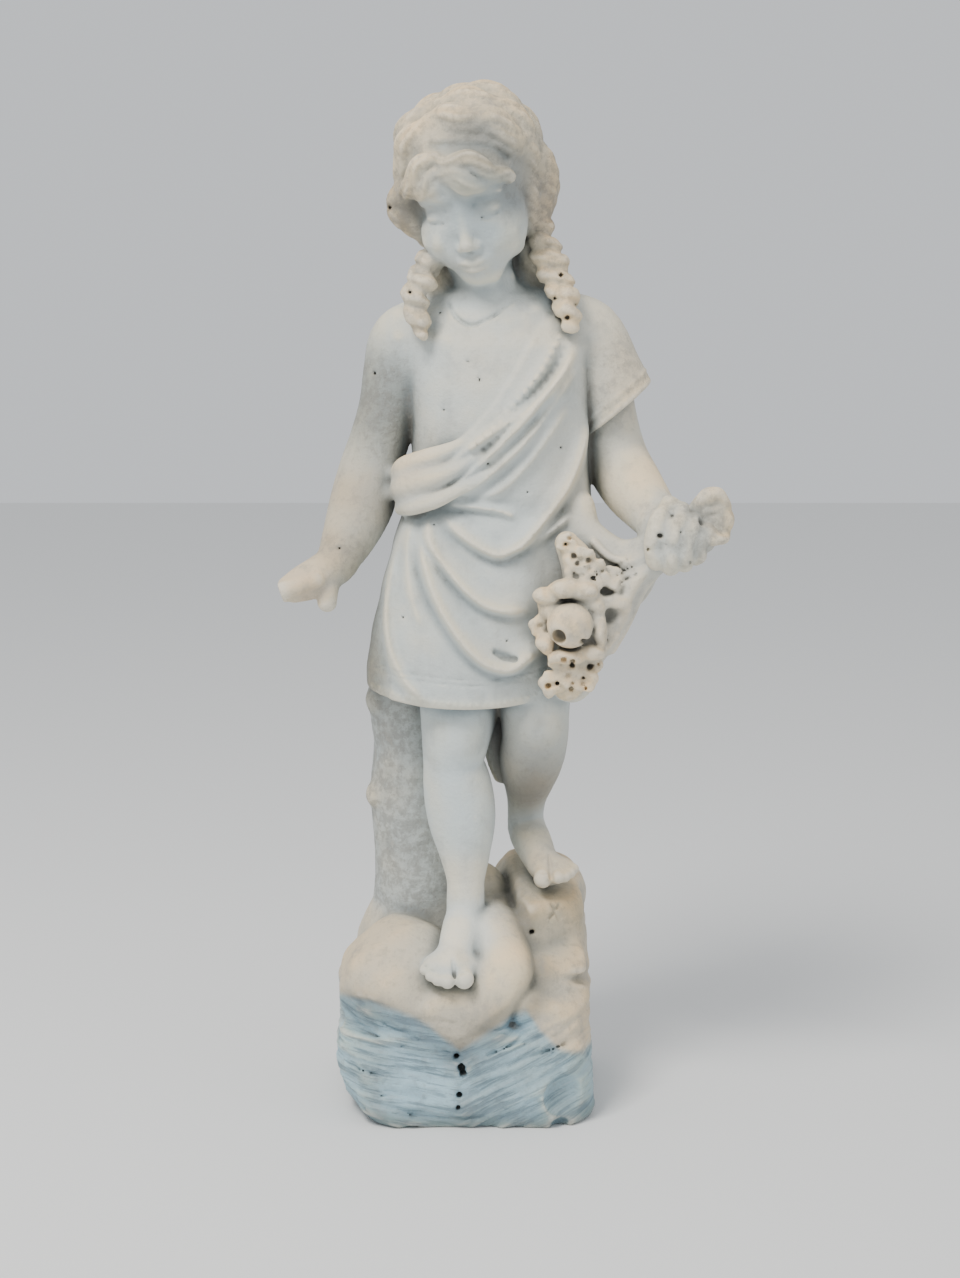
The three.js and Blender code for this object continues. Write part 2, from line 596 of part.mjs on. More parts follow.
function carveLegs(block) {
  for (const [leg, foot, sole, toes] of [
    [RIGHT_LEG, RIGHT_FOOT, RIGHT_BALL, RIGHT_TOES],
    [LEFT_LEG, LEFT_FOOT, LEFT_BALL, LEFT_TOES],
  ]) {
    block.add(limb(leg), 4);
    block.add(limb(foot), 8);
    block.add(egg(...sole), 8);
    const [x, y, z] = sole[0];
    for (const [tx, ty, tz, r] of toes) {
      const root = [
        tx + (x - tx) * TOE_ROOT.x, ty + (y - ty) * TOE_ROOT.y, tz + (z - tz) * TOE_ROOT.z, r,
      ];
      block.add(limb([root, [tx, ty, tz, r]]), 1.5);
    }
    const [[bx, by, bz, br], [nx, , , nr]] = toes;
    const gap = (bx * nr + nx * br) / (nr + br);
    const { radius, back } = TOE_GAP;
    const lines = [[gap, by + back, bz + br + 4], [gap, by, bz + br], [gap, by - br, bz]];
    block.cut(limb(lines.map((p) => [...p, radius])), 2);
  }
  for (const cap of KNEECAPS) block.add(egg(...cap), 10);
  block.add(limb(WEB), 3);
}

// ---- Left hand, apron and flowers -----------------------------------------------------------

const APRON = [ // the gathered cloth from the fist down to the hem
  [184, -76, 562, 17], [156, -74, 534, 18], [136, -71, 500, 24], [112, -68, 468, 25],
  [103, -66, 438, 22],
];
const APRON_EDGE = [
  [112, -46, 606, 14], [118, -52, 584, 14], [132, -58, 571, 13], [150, -64, 563, 12],
  [170, -70, 565, 12], [186, -76, 572, 13],
];
const APRON_SHEET = [
  [100, -54, 530, 60], [130, -62, 534, 42], [150, -66, 538, 32], [170, -72, 554, 20],
];
const APRON_FOLDS = [ // ridges that run out from the fist
  [[184, -90, 556, 5], [166, -93, 540, 6], [152, -92, 520, 6], [142, -90, 492, 5]],
  [[180, -90, 564, 4], [160, -86, 558, 5], [140, -82, 562, 4], [124, -76, 576, 4]],
];
const FIST = [[188, -66, 590, 22], [200, -76, 590, 24], [212, -82, 582, 23], [224, -84, 580, 17]];
const CURLED = [ // fingers curled over the cloth, side by side
  [[196, -84, 608, 12], [186, -100, 596, 11], [180, -104, 578, 10], [182, -100, 560, 10]],
  [[206, -88, 604, 11], [200, -106, 590, 10], [196, -108, 570, 10], [196, -102, 554, 9]],
  [[216, -88, 598, 10], [213, -104, 584, 10], [211, -106, 568, 9], [210, -100, 556, 8]],
  [[226, -86, 590, 9], [225, -100, 580, 9], [223, -100, 568, 8], [221, -94, 560, 7]],
];
const HELD_ROSE = [ // a bud above the fist: its heart and the petals folded round it
  [[234, -84, 602, 17], [242, -84, 596, 16]],
  [[222, -88, 606, 8], [228, -92, 618, 9], [240, -90, 620, 9], [247, -86, 610, 8]],
  [[224, -94, 590, 7], [236, -100, 582, 7], [246, -94, 580, 7], [248, -86, 588, 7]],
];
// What the small blossoms lie on.
const BOUQUET = [
  [98, -84, 574, 12], [110, -88, 552, 18], [118, -88, 520, 24], [112, -86, 470, 22],
  [100, -86, 438, 16],
];
// Small blossoms as [x, y, z, radius], in the order they were cut.
const FLOWERS = [
  [97, -98, 576, 11], [111, -102, 559, 14], [124, -98, 548, 12], [106, -102, 545, 11],
  [84, -102, 440, 12], [99, -106, 448, 12], [114, -104, 444, 13], [92, -104, 462, 11],
  [124, -98, 460, 10], [72, -98, 496, 11], [140, -90, 542, 11], [134, -92, 486, 12],
];
const PETALS = 5;
const BUD = [[100, -108, 498], 23];
const BUD_HOLES = [[86, -128, 490, 8], [111, -126, 483, 3.5]];
const HOOD = [ // petals that stand round the big bud: middle, radii
  [[78, -104, 526], [15, 12, 9]], [[94, -110, 534], [17, 13, 9]], [[112, -107, 531], [15, 13, 9]],
  [[126, -103, 517], [9, 12, 12]], [[129, -102, 492], [8, 13, 18]], [[120, -106, 473], [15, 13, 8]],
  [[98, -108, 468], [19, 13, 8]], [[77, -103, 480], [9, 11, 11]],
];
const LEAVES = [
  [[138, -90, 516], [20, 13, 13]], [[132, -90, 534], [20, 12, 12]], [[84, -100, 512], [15, 12, 12]],
];
const LEAF_HOLLOWS = [[[138, -103, 505], [13, 11, 8]], [[136, -102, 529], [9, 10, 5]]];
const UNDER_HOOD = [[82, -118, 518, 4], [95, -121, 521, 6], [109, -119, 519, 5], [121, -114, 508, 4]];

// A knob with petals round it and a drilled eye; each blossom is turned a little further.
function carveBlossom(block, [x, y, z, r], order) {
  block.add(ball([x, y + r * 0.45, z], r * 0.85), 3);
  for (let petal = 0; petal < PETALS; petal++) {
    const angle = ((petal + order * 0.37) / PETALS) * 2 * Math.PI;
    const middle = [x + r * 0.6 * Math.cos(angle), y + r * 0.1, z + r * 0.6 * Math.sin(angle)];
    block.add(egg(middle, [r * 0.5, r * 0.42, r * 0.5]), 1.5);
  }
  block.cut(ball([x, y - r * 0.2, z], r * 0.34), 1);
}

function carveApron(block) {
  block.add(limb(LEFT_ARM), 7);
  const edge = behind(SLEEVE_EDGE.at, SLEEVE_EDGE.facing);
  block.add(both(limb(SLEEVE), edge), 2);
  block.add(limb(APRON), 8);
  block.add(limb(APRON_SHEET, { flat: [[0, 1, 0], 2.6] }), 5);
  block.add(limb(APRON_EDGE), 10);
  for (const stations of APRON_FOLDS) block.add(limb(stations), 5);
  block.add(limb(FIST), 4);
  for (const finger of CURLED) block.add(limb(finger), 1.5);
  for (const petal of HELD_ROSE) block.add(limb(petal), 1.5);
  block.add(limb(BOUQUET), 6);
  for (const [order, flower] of FLOWERS.entries()) carveBlossom(block, flower, order);
  for (const leaf of LEAVES) block.add(egg(...leaf), 4);
  for (const hollow of LEAF_HOLLOWS) block.cut(egg(...hollow), 2);
  for (const petal of HOOD) block.add(egg(...petal), 1.5);
  block.cut(limb(UNDER_HOOD), 2);
  block.add(ball(...BUD), 1.5);
  for (const [x, y, z, r] of BUD_HOLES) block.cut(limb([[x, y - 8, z, r], [x, y + 8, z, r]]), 1);
}

// ---- Tree stump and rock ----------------------------------------------------------------------

const STUMP = [
  [-50, 44, 440, 44], [-54, 45, 400, 45], [-52, 45, 355, 42], [-54, 46, 302, 44],
  [-50, 46, 240, 44], [-46, 46, 180, 50], [-44, 46, 90, 60],
];
const KNOTS = [[-86, 30, 402, 15], [-90, 30, 302, 12]];

// The plan of the base, slightly tapered; its underside is trimmed flat at the end.
const PLAN = [
  [[BASE.left, 0, 40], [-1, 0, 0.02]],
  [[BASE.right, 0, 40], [1, 0, 0.03]],
  [[0, BASE.front, 30], [0, -1, 0.02]],
  [[0, BASE.back, 30], [0, 1, 0.05]],
  [[-124, -104, 40], [-1, -1, 0]],
  [[118, -112, 40], [1, -0.9, 0.12]],
  [[116, 108, 40], [1, 1, 0.1]],
  [[-116, 108, 40], [-1, 1, 0.1]],
  [[-128, -60, 22], [-0.8, -0.25, -0.6]],
  [[0, 0, -10], [0, 0, -1]],
];
const ROCKS = [
  { // the lower block, lowest where its two slopes meet
    faces: [
      [[-60, -90, 112], [-0.18, -0.4, 1]],
      [[60, -90, 106], [0.2, -0.4, 1]],
      [[0, 60, 118], [0, 0.25, 1]],
    ],
    worn: 10,
  },
  { // under the left foot
    faces: [
      [[124, 20, 196], [1, -0.1, 0.15]],
      [[112, -30, 180], [0.8, -1, 0.3]],
      [[80, -62, 190], [-0.1, -1, 0.35]],
      [[36, 0, 190], [-1, -0.2, 0.4]],
      [[70, 100, 170], [0.2, 1, 0.25]],
      [[84, -20, 217], [0.15, -0.2, 1]],
      [[64, 50, 243], [0.1, -0.3, 1]],
      [[112, 20, 230], [0.84, 0, 0.55]],
    ],
    worn: 12,
  },
  { // the ledge below it
    faces: [
      [[122, 0, 150], [1, 0, 0.1]],
      [[110, -80, 150], [0.6, -1, 0.2]],
      [[80, -88, 150], [-0.3, -1, 0.3]],
      [[56, 0, 140], [-1, 0, 0]],
      [[90, -40, 172], [0.2, -0.3, 1]],
      [[90, 100, 130], [0, 1, 0.1]],
    ],
    worn: 12,
  },
  { // the corner stone on the child's left
    faces: [
      [[130, 0, 106], [1, 0, 0.1]],
      [[116, -100, 110], [0.7, -1, 0.15]],
      [[70, -116, 110], [-0.2, -1, 0.3]],
      [[44, -60, 110], [-1, -0.2, 0.3]],
      [[96, -60, 138], [0.15, -0.35, 1]],
      [[90, 90, 110], [0, 1, 0.2]],
    ],
    worn: 14,
  },
];
// Boulders: centre and radii.
const BOULDERS = [
  [[-62, -28, 106], [72, 92, 84]],
  [[-12, -66, 104], [50, 62, 50]],
  [[-34, 44, 130], [84, 66, 88]],
  [[14, 24, 150], [44, 50, 84]],
  [[-14, -96, 112], [44, 34, 33]], // under the toes
  [[60, -80, 112], [26, 34, 28]],
];
// The rounded ridge beside the right foot, down to the overhanging lip of the upper rock.
const MOUND = [[28, -6, 186, 26], [30, -50, 172, 34], [34, -84, 148, 34], [24, -98, 116, 28]];
const ROCK_SOFT = 5; // fillets between the stones
const ROCK_BOX = { low: [-200, -152, -20], high: [200, 132, 300] };
// Clefts between the stones, each a wandering line with its half-width.
const CLEFTS = [
  [
    [-4, -124, 77, 10], [-20, -124, 87, 8], [-38, -124, 98, 7], [-62, -122, 113, 5],
    [-93, -106, 122, 4], [-124, -72, 118, 3],
  ],
  [
    [-4, -124, 77, 10], [13, -124, 93, 10], [38, -122, 112, 9], [56, -118, 123, 8], [68, -110, 133, 6],
    [75, -96, 150, 5], [72, -84, 172, 5], [60, -60, 196, 6], [42, -20, 216, 6],
  ],
  [[74, -96, 150, 4], [100, -86, 142, 4], [128, -40, 132, 7], [130, 20, 130, 8], [130, 100, 130, 8]],
  [[66, -70, 179, 4], [84, -72, 180, 3], [108, -58, 180, 4], [128, -10, 178, 9], [127, 100, 176, 9]],
  [[-6, -129, 78, 4], [-5, -127, 60, 3], [-6, -127, 16, 3]],
  [[-110, -60, 172, 4], [-132, 10, 180, 4], [-120, 70, 176, 4]],
];
const DRILLED = [[-9, -120, 72, 4], [-3, -120, 60, 5], [-6, -120, 35, 4], [66, -66, 181, 3]];
// Lost flakes: centre and radii.
const CHIPS = [
  [[104, -121, 32], [27, 16, 25]],
  [[94, -126, 2], [12, 20, 10]],
  [[-96, -112, 150], [15, 12, 14]],
  [[-126, -66, 92], [10, 24, 12]],
];

// Bedding: ledges that dip from both sides to the middle of the front, and a rough-hewn face.
const BEDS = { middle: -5, pitch: 19, depth: 3, dipRight: 0.16, dipLeft: 0.52 };
const HEWN = [
  [62, 0.8, 0.35, 0.5, 2.5],
  [47, -0.5, 0.75, 0.45, 2],
  [34, 0.3, -0.6, 0.75, 1.2],
]; // wavelength, direction and depth of the facets

function ruggedness(x, y, z) {
  const off = x - BEDS.middle;
  const dip = off > 0 ? BEDS.dipLeft * off : -BEDS.dipRight * off;
  const bed = (z - dip + 4 * Math.sin(x * 0.05 + y * 0.04)) / BEDS.pitch;
  const t = bed - Math.floor(bed);
  const worn = 0.65 + 0.35 * Math.sin(x * 0.031 + bed * 2.1 + y * 0.023);
  let cut = BEDS.depth * worn * Math.min(t / 0.75, (1 - t) / 0.25) * smooth(-z, -118, -92);
  for (const [wave, a, b, c, depth] of HEWN) {
    const phase = (a * x + b * y + c * z) / wave;
    cut += depth * Math.abs(2 * (phase - Math.floor(phase)) - 1);
  }
  return cut;
}
const weathered = (form) => ({
  ...ROCK_BOX,
  at: (x, y, z) => form.at(x, y, z) + ruggedness(x, y, z),
});

function carveRock(block) {
  block.add(limb(STUMP), 4);
  for (const [x, y, z, r] of KNOTS) block.add(ball([x, y, z], r), 8);
  for (const { faces, worn } of ROCKS) {
    block.add(weathered(stone(faces, worn)), ROCK_SOFT);
  }
  for (const boulder of BOULDERS) block.add(weathered(egg(...boulder)), ROCK_SOFT);
  block.add(weathered(limb(MOUND)), ROCK_SOFT);
  const plan = weathered(stone(PLAN, 20));
  block.cut({ ...ROCK_BOX, at: (x, y, z) => -plan.at(x, y, z) }, ROCK_SOFT);
  for (const cleft of CLEFTS) block.cut(limb(cleft), 4);
  for (const [centre, radii] of CHIPS) block.cut(egg(centre, radii), 2);
  for (const [x, y, z, r] of DRILLED) block.cut(limb([[x, y - 6, z, r], [x, y + 8, z, r]]), 1);
}

// ---- Skin of the block: marching cubes over the shared edges of the grid ----------------------

// Corner offsets and the edges between them, in the order of the three.js tables.
const CORNERS = [[0, 0, 0], [1, 0, 0], [0, 1, 0], [1, 1, 0], [0, 0, 1], [1, 0, 1], [0, 1, 1], [1, 1, 1]];
const CORNER_BITS = [1, 2, 8, 4, 16, 32, 128, 64];
const EDGES = [
  [0, 0, 0, 0], [1, 0, 0, 1], [0, 1, 0, 0], [0, 0, 0, 1], [0, 0, 1, 0], [1, 0, 1, 1],
  [0, 1, 1, 0], [0, 0, 1, 1], [0, 0, 0, 2], [1, 0, 0, 2], [1, 1, 0, 2], [0, 1, 0, 2],
]; // start corner and axis

function skin(block) {
  const [nx, ny, nz] = block.count;
  const stride = [1, nx, nx * ny];
  const value = block.value;
  for (let n = 0; n < value.length; n++) if (Math.abs(value[n]) < 1e-3) value[n] = 1e-3;
  const points = [];
  const triangles = [];
  const found = new Map();
  const corner = CORNERS.map(([a, b, c]) => a + b * stride[1] + c * stride[2]);
  const pointOn = (n, axis, i, j, k) => {
    const key = n * 3 + axis;
    if (!found.has(key)) {
      const t = value[n] / (value[n] - value[n + stride[axis]]);
      const p = [i, j, k].map((q, a) => block.low[a] + block.step * (q + (a === axis ? t : 0)));
      found.set(key, points.push(p) - 1);
    }
    return found.get(key);
  };
  for (let k = 0; k < nz - 1; k++)
    for (let j = 0; j < ny - 1; j++)
      for (let i = 0; i < nx - 1; i++) {
        const n = i + j * stride[1] + k * stride[2];
        let cube = 0;
        for (let c = 0; c < 8; c++) if (value[n + corner[c]] < 0) cube |= CORNER_BITS[c];
        if (edgeTable[cube] === 0) continue;
        for (let t = cube * 16; triTable[t] !== -1; t += 3) {
          const face = [0, 1, 2].map((s) => {
            const [a, b, c, axis] = EDGES[triTable[t + s]];
            return pointOn(n + a + b * stride[1] + c * stride[2], axis, i + a, j + b, k + c);
          });
          triangles.push(face.reverse());
        }
      }
  return { points, triangles };
}

// ---- Thinning: edges are collapsed where the skin changes least (quadric error) ---------------

// Squared distance to a plane, as the ten numbers of a symmetric 4 x 4 matrix.
const planeQuadric = ([a, b, c, d], w) =>
  [a * a, a * b, a * c, a * d, b * b, b * c, b * d, c * c, c * d, d * d].map((v) => v * w);

function errorAt(q, [x, y, z]) {
  return (
    q[0] * x * x + 2 * q[1] * x * y + 2 * q[2] * x * z + 2 * q[3] * x +
    q[4] * y * y + 2 * q[5] * y * z + 2 * q[6] * y +
    q[7] * z * z + 2 * q[8] * z + q[9]
  );
}

// The point of least error, or null where the surface is too flat to have one.
function bestPoint(q) {
  const [a, b, c, d, e, f, g, h, i] = q;
  const det = a * (e * h - f * f) - b * (b * h - f * c) + c * (b * f - e * c);
  if (Math.abs(det) < 1e-6 * (a + e + h) ** 3) return null;
  const x = -(d * (e * h - f * f) - b * (g * h - f * i) + c * (g * f - e * i)) / det;
  const y = -(a * (g * h - i * f) - d * (b * h - f * c) + c * (b * i - g * c)) / det;
  const z = -(a * (e * i - f * g) - b * (b * i - g * c) + d * (b * f - e * c)) / det;
  return [x, y, z];
}

class Heap {
  items = [];

  push(item) {
    const list = this.items;
    let n = list.push(item) - 1;
    while (n > 0) {
      const up = (n - 1) >> 1;
      if (list[up].cost <= item.cost) break;
      list[n] = list[up];
      n = up;
    }
    list[n] = item;
  }

  pop() {
    const list = this.items;
    const top = list[0];
    const item = list.pop();
    if (list.length === 0) return top;
    let n = 0;
    for (;;) {
      let down = 2 * n + 1;
      if (down >= list.length) break;
      if (down + 1 < list.length && list[down + 1].cost < list[down].cost) down++;
      if (list[down].cost >= item.cost) break;
      list[n] = list[down];
      n = down;
    }
    list[n] = item;
    return top;
  }
}

function faceNormal(p, q, r) {
  const u = [q[0] - p[0], q[1] - p[1], q[2] - p[2]];
  const v = [r[0] - p[0], r[1] - p[1], r[2] - p[2]];
  return [u[1] * v[2] - u[2] * v[1], u[2] * v[0] - u[0] * v[2], u[0] * v[1] - u[1] * v[0]];
}

// `care` says how much a place matters; `goal` is the number of triangles to keep.
function thin({ points, triangles }, care, goal) {
  const around = points.map(() => new Set());
  const quadrics = points.map(() => new Array(10).fill(0));
  for (const [f, face] of triangles.entries()) {
    const [p, q, r] = face.map((v) => points[v]);
    const n = faceNormal(p, q, r);
    const size = Math.hypot(...n);
    for (const v of face) around[v].add(f);
    if (size < 1e-9) continue;
    const unit = n.map((c) => c / size);
    const offset = -(unit[0] * p[0] + unit[1] * p[1] + unit[2] * p[2]);
    const quadric = planeQuadric([...unit, offset], size * care(...p));
    for (const v of face) for (let i = 0; i < 10; i++) quadrics[v][i] += quadric[i];
  }
  const version = new Int32Array(points.length);
  const heap = new Heap();
  const neighbours = (v) => {
    const all = new Set();
    for (const f of around[v]) for (const w of triangles[f]) if (w !== v) all.add(w);
    return all;
  };
  const propose = (a, b) => {
    const sum = quadrics[a].map((v, i) => v + quadrics[b][i]);
    const [p, q] = [points[a], points[b]];
    const middle = p.map((v, i) => (v + q[i]) / 2);
    const span = Math.hypot(p[0] - q[0], p[1] - q[1], p[2] - q[2]);
    let spot = bestPoint(sum);
    const stray = spot && Math.hypot(spot[0] - middle[0], spot[1] - middle[1], spot[2] - middle[2]);
    if (!spot || stray > span) {
      const choices = [middle, p, q];
      const costs = choices.map((c) => errorAt(sum, c));
      spot = choices[costs.indexOf(Math.min(...costs))];
    }
    const cost = Math.max(errorAt(sum, spot), 0) + 1e-3 * span * span;
    heap.push({ cost, a, b, spot, stamp: version[a] + version[b] });
  };
  for (const [v] of points.entries()) for (const w of neighbours(v)) if (w > v) propose(v, w);

  const turnsOver = (v, other, spot) => {
    for (const f of around[v]) {
      const face = triangles[f];
      if (face.includes(other)) continue;
      const before = faceNormal(...face.map((w) => points[w]));
      const after = faceNormal(...face.map((w) => (w === v ? spot : points[w])));
      const dot = before[0] * after[0] + before[1] * after[1] + before[2] * after[2];
      if (dot < 0.25 * Math.hypot(...before) * Math.hypot(...after)) return true;
    }
    return false;
  };

  let left = triangles.length;
  while (left > goal && heap.items.length > 0) {
    const { a, b, spot, stamp } = heap.pop();
    if (around[a].size === 0 || around[b].size === 0 || version[a] + version[b] !== stamp) continue;
    const nearB = neighbours(b);
    const shared = [...neighbours(a)].filter((v) => nearB.has(v));
    if (shared.length !== 2 || turnsOver(a, b, spot) || turnsOver(b, a, spot)) continue;
    points[a] = spot;
    quadrics[a] = quadrics[a].map((v, i) => v + quadrics[b][i]);
    for (const f of around[b]) {
      if (triangles[f].includes(a)) {
        for (const v of triangles[f]) if (v !== b) around[v].delete(f);
        left--;
      } else {
        triangles[f] = triangles[f].map((v) => (v === b ? a : v));
        around[a].add(f);
      }
    }
    around[b].clear();
    version[a]++;
    for (const w of neighbours(a)) propose(a, w);
  }
  const kept = [...new Set(around.flatMap((faces) => [...faces]))];
  return { points, triangles: kept.map((f) => triangles[f]) };
}

// ---- The statue -------------------------------------------------------------------------------

const block = new Block([-200, -152, -20], [272, 132, 1032], CARVING_STEP);
block.add(gown(), 0);
block.add(egg(...KNOT), 10);
block.add(limb(KNOT_BODY), 8);
for (const stations of KNOT_FOLDS) block.add(limb(stations), 8);
carveBody(block);
carveRock(block);
carveLegs(block);
carveApron(block);
carveHead(block);
carveHair(block);

// The head and the flowers keep more triangles than the rock.
const CARE = { head: 5, rock: 0.5, flowers: 1.2, rest: 1 };
const PLACES = { head: 800, rock: 260, flowers: [60, -60] }; // above, below; left of x, front of y
function care(x, y, z) {
  if (z > PLACES.head) return CARE.head;
  if (z < PLACES.rock) return CARE.rock;
  return x > PLACES.flowers[0] && y < PLACES.flowers[1] ? CARE.flowers : CARE.rest;
}
const carved = thin(skin(block), care, TRIANGLES);

const wasm = await Module();
wasm.setup();
const used = new Map();
const corners = [];
const triVerts = carved.triangles.flat().map((v) => {
  if (!used.has(v)) {
    used.set(v, used.size);
    corners.push(...carved.points[v]);
  }
  return used.get(v);
});
const solid = new wasm.Manifold(
  new wasm.Mesh({
    numProp: 3,
    vertProperties: new Float32Array(corners),
    triVerts: new Uint32Array(triVerts),
  }),
);
const SPACE = 2000; // edge of a cube that stands on the floor and holds the statue
const above = wasm.Manifold.cube([SPACE, SPACE, SPACE], true).translate([0, 0, SPACE / 2]);
const statue = solid.intersect(above);
const mesh = statue.getMesh();

const marble = new THREE.MeshStandardMaterial({ color: 0xcfcabd, roughness: 0.6, metalness: 0 });
marble.name = "marble";
const geometry = new THREE.BufferGeometry();
geometry.setAttribute("position", new THREE.BufferAttribute(mesh.vertProperties, 3));
geometry.setIndex(new THREE.BufferAttribute(mesh.triVerts, 1));
const part = new THREE.Mesh(geometry, marble);
part.name = "statue";
const model = new THREE.Group();
model.name = "marble_statue";
model.add(part);
export default model;
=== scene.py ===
# %% [markdown]
# # A weathered marble child with an apron of flowers
#
# Child, tree stump and rocky base of this garden statue were carved from one block of white marble.
# Years outdoors have greyed it, worn its edges and left grime in every hollow. This lesson carves it
# again in Blender, round the finished solid that the workshop hands over as a fixed frame.

# %% The frame and its size
import math

import bpy
import numpy as np
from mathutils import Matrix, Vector


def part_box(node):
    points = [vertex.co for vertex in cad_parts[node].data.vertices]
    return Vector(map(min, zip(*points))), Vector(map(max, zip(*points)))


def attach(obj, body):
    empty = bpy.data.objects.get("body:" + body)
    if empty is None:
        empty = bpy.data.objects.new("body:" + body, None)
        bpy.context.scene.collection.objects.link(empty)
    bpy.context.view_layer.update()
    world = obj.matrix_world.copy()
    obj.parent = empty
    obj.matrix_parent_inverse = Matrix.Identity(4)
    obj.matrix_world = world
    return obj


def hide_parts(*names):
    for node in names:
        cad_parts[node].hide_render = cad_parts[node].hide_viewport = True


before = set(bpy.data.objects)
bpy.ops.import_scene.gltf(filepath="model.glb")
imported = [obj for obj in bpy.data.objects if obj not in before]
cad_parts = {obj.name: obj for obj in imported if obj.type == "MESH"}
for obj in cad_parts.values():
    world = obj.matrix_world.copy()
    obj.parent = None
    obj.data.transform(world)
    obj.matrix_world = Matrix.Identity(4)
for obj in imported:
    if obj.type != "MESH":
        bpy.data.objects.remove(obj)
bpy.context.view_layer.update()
bottom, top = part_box("statue")
STATUE_HEIGHT = 1011.9  # mm, crown of the hair to the floor, that the forms below are given for
MM = (top.z - bottom.z) / STATUE_HEIGHT
STEP = 2.0  # mm, the grid of the block
print(f"1 mm is {MM:.6f} m, block grid {STEP} mm")

# %% [markdown]
# ## Camera
#
# The statue is seen from in front and a little above its middle, from about two and a half heights
# away, so that the base is seen slightly from above. A long lens keeps it upright.

# %% Camera
AIM = Vector((14.4, 0, 468)) * MM
DISTANCE = 2400 * MM
ELEVATION = math.radians(9)
FRAME_HEIGHT = 1278 * MM  # what the picture holds at the distance of the aim


def add_camera():
    """A camera on a line that climbs from the aim towards the viewer."""
    data = bpy.data.cameras.new("camera")
    data.sensor_fit = "VERTICAL"
    data.sensor_height = 36
    data.lens = 36 * DISTANCE / FRAME_HEIGHT
    camera = bpy.data.objects.new("camera", data)
    back = Vector((0, -math.cos(ELEVATION), math.sin(ELEVATION)))
    camera.location = AIM + back * DISTANCE
    camera.rotation_euler = (math.pi / 2 - ELEVATION, 0, 0)
    bpy.context.scene.collection.objects.link(camera)
    bpy.context.scene.camera = camera
    return camera


camera = add_camera()
print("camera at", [round(v, 3) for v in camera.location], "lens", round(camera.data.lens, 1))

# %% [markdown]
# ## The block
#
# A figure like this could be sculpted by hand, or built from subdivided cages that are hard to join
# where an arm meets a sleeve. A carver works the other way: masses are left in a block and hollows are
# cut out of it. So the block here is a box of numbers, one for each point of a fine grid, that says
# how far that point is from the marble's surface: less than nought inside, more than nought outside.
# Joining two masses is taking the lesser of two distances, with a fillet, and it never tears.

# %% The block and its two tools
FAR = 1e3  # mm, further than anything in the block
MARGIN = 8  # mm past a form and its fillet that its distances are worked out
KINDS = ["skin", "cloth", "hair", "flowers", "stump", "rock"]


def smooth(value, low, high):
    """0 below low, 1 above high, and an S-curve between."""
    t = np.clip((value - low) / (high - low), 0, 1)
    return t * t * (3 - 2 * t)


def blend(a, b, soft):
    """The lesser of two distances, with a fillet about `soft` wide where they are alike."""
    near = np.maximum(soft - np.abs(a - b), 0) / max(soft, 1e-6)
    return np.minimum(a, b) - near * near * soft * 0.25


class Block:
    """A box of signed distances in mm, and for each point which kind of surface is nearest."""

    def __init__(self, low, high, step):
        self.low = np.array(low, float)
        self.step = step
        self.count = np.ceil((np.array(high) - self.low) / step).astype(int) + 1
        self.value = np.full(self.count, FAR, np.float32)
        self.kind = np.zeros(self.count, np.uint8)

    def window(self, low, high, reach):
        """The slices and the x, y and z of the grid points in a box."""
        first = np.floor((np.array(low) - reach - self.low) / self.step).astype(int)
        last = np.ceil((np.array(high) + reach - self.low) / self.step).astype(int) + 1
        first = np.clip(first, 0, self.count - 1)
        last = np.clip(last, 1, self.count)
        axes = [
            (self.low[i] + self.step * np.arange(first[i], last[i])).astype(np.float32)
            for i in range(3)
        ]
        return tuple(map(slice, first, last)), np.meshgrid(*axes, indexing="ij", sparse=True)

    def add(self, form, soft=4.0, kind="skin"):
        """Leaves the form's marble standing, filleted into what is there."""
        low, high, distance = form
        cut, (x, y, z) = self.window(low, high, soft + MARGIN)
        new = distance(x, y, z)
        old = self.value[cut]
        self.kind[cut] = np.where(new < old, KINDS.index(kind), self.kind[cut])
        self.value[cut] = blend(old, new, soft)

    def cut(self, form, soft=2.0):
        """Takes the form's marble away."""
        low, high, distance = form
        cut, (x, y, z) = self.window(low, high, soft + MARGIN)
        self.value[cut] = -blend(-self.value[cut], distance(x, y, z), soft)


def at_points(grid, places):
    """The grid's value at places in mm, from the eight grid points round each."""
    spot = (places - block.low) / STEP
    first = np.clip(np.floor(spot).astype(int), 0, block.count - 2)
    t = spot - first
    value = 0
    for corner in np.ndindex(2, 2, 2):
        weight = np.prod(np.where(corner, t, 1 - t), axis=1)
        value = value + weight * grid[tuple((first + corner).T)]
    return value


def laid(points):
    """[x, z] or [x, z, radius] points with the y of the marble's front put in between x and z."""
    points = np.asarray(points, float)
    i, k = (np.rint((points[:, n] - block.low[2 * n]) / STEP).astype(int) for n in (0, 1))
    front = block.low[1] + STEP * (block.value[i, :, k] < 0).argmax(axis=1)
    return np.insert(points, 1, front, axis=1)


block = Block((-200, -152, -20), (272, 132, 1032), STEP)
print("block of", block.count, "points,", round(block.value.size / 1e6, 1), "million")

# %% [markdown]
# ## Simple forms
#
# Anatomy books build a body from eggs and tapering tubes, and so does this lesson. Each form is a box
# that holds it and a rule that gives the distance to it, worked out for all the box's points at once.

# %% Eggs, limbs and stones
SPAN_MARGIN = 14  # mm past a span of a limb that its distance is worked out


def unit(v):
    """Each row of an array as a vector of length one."""
    return v / (np.linalg.norm(v, axis=-1, keepdims=True) + 1e-9)


def box_around(points, reach):
    """The lowest and the highest corner of a set of points, moved out by reach."""
    points = np.asarray(points, float)[:, :3]
    return points.min(0) - reach, points.max(0) + reach


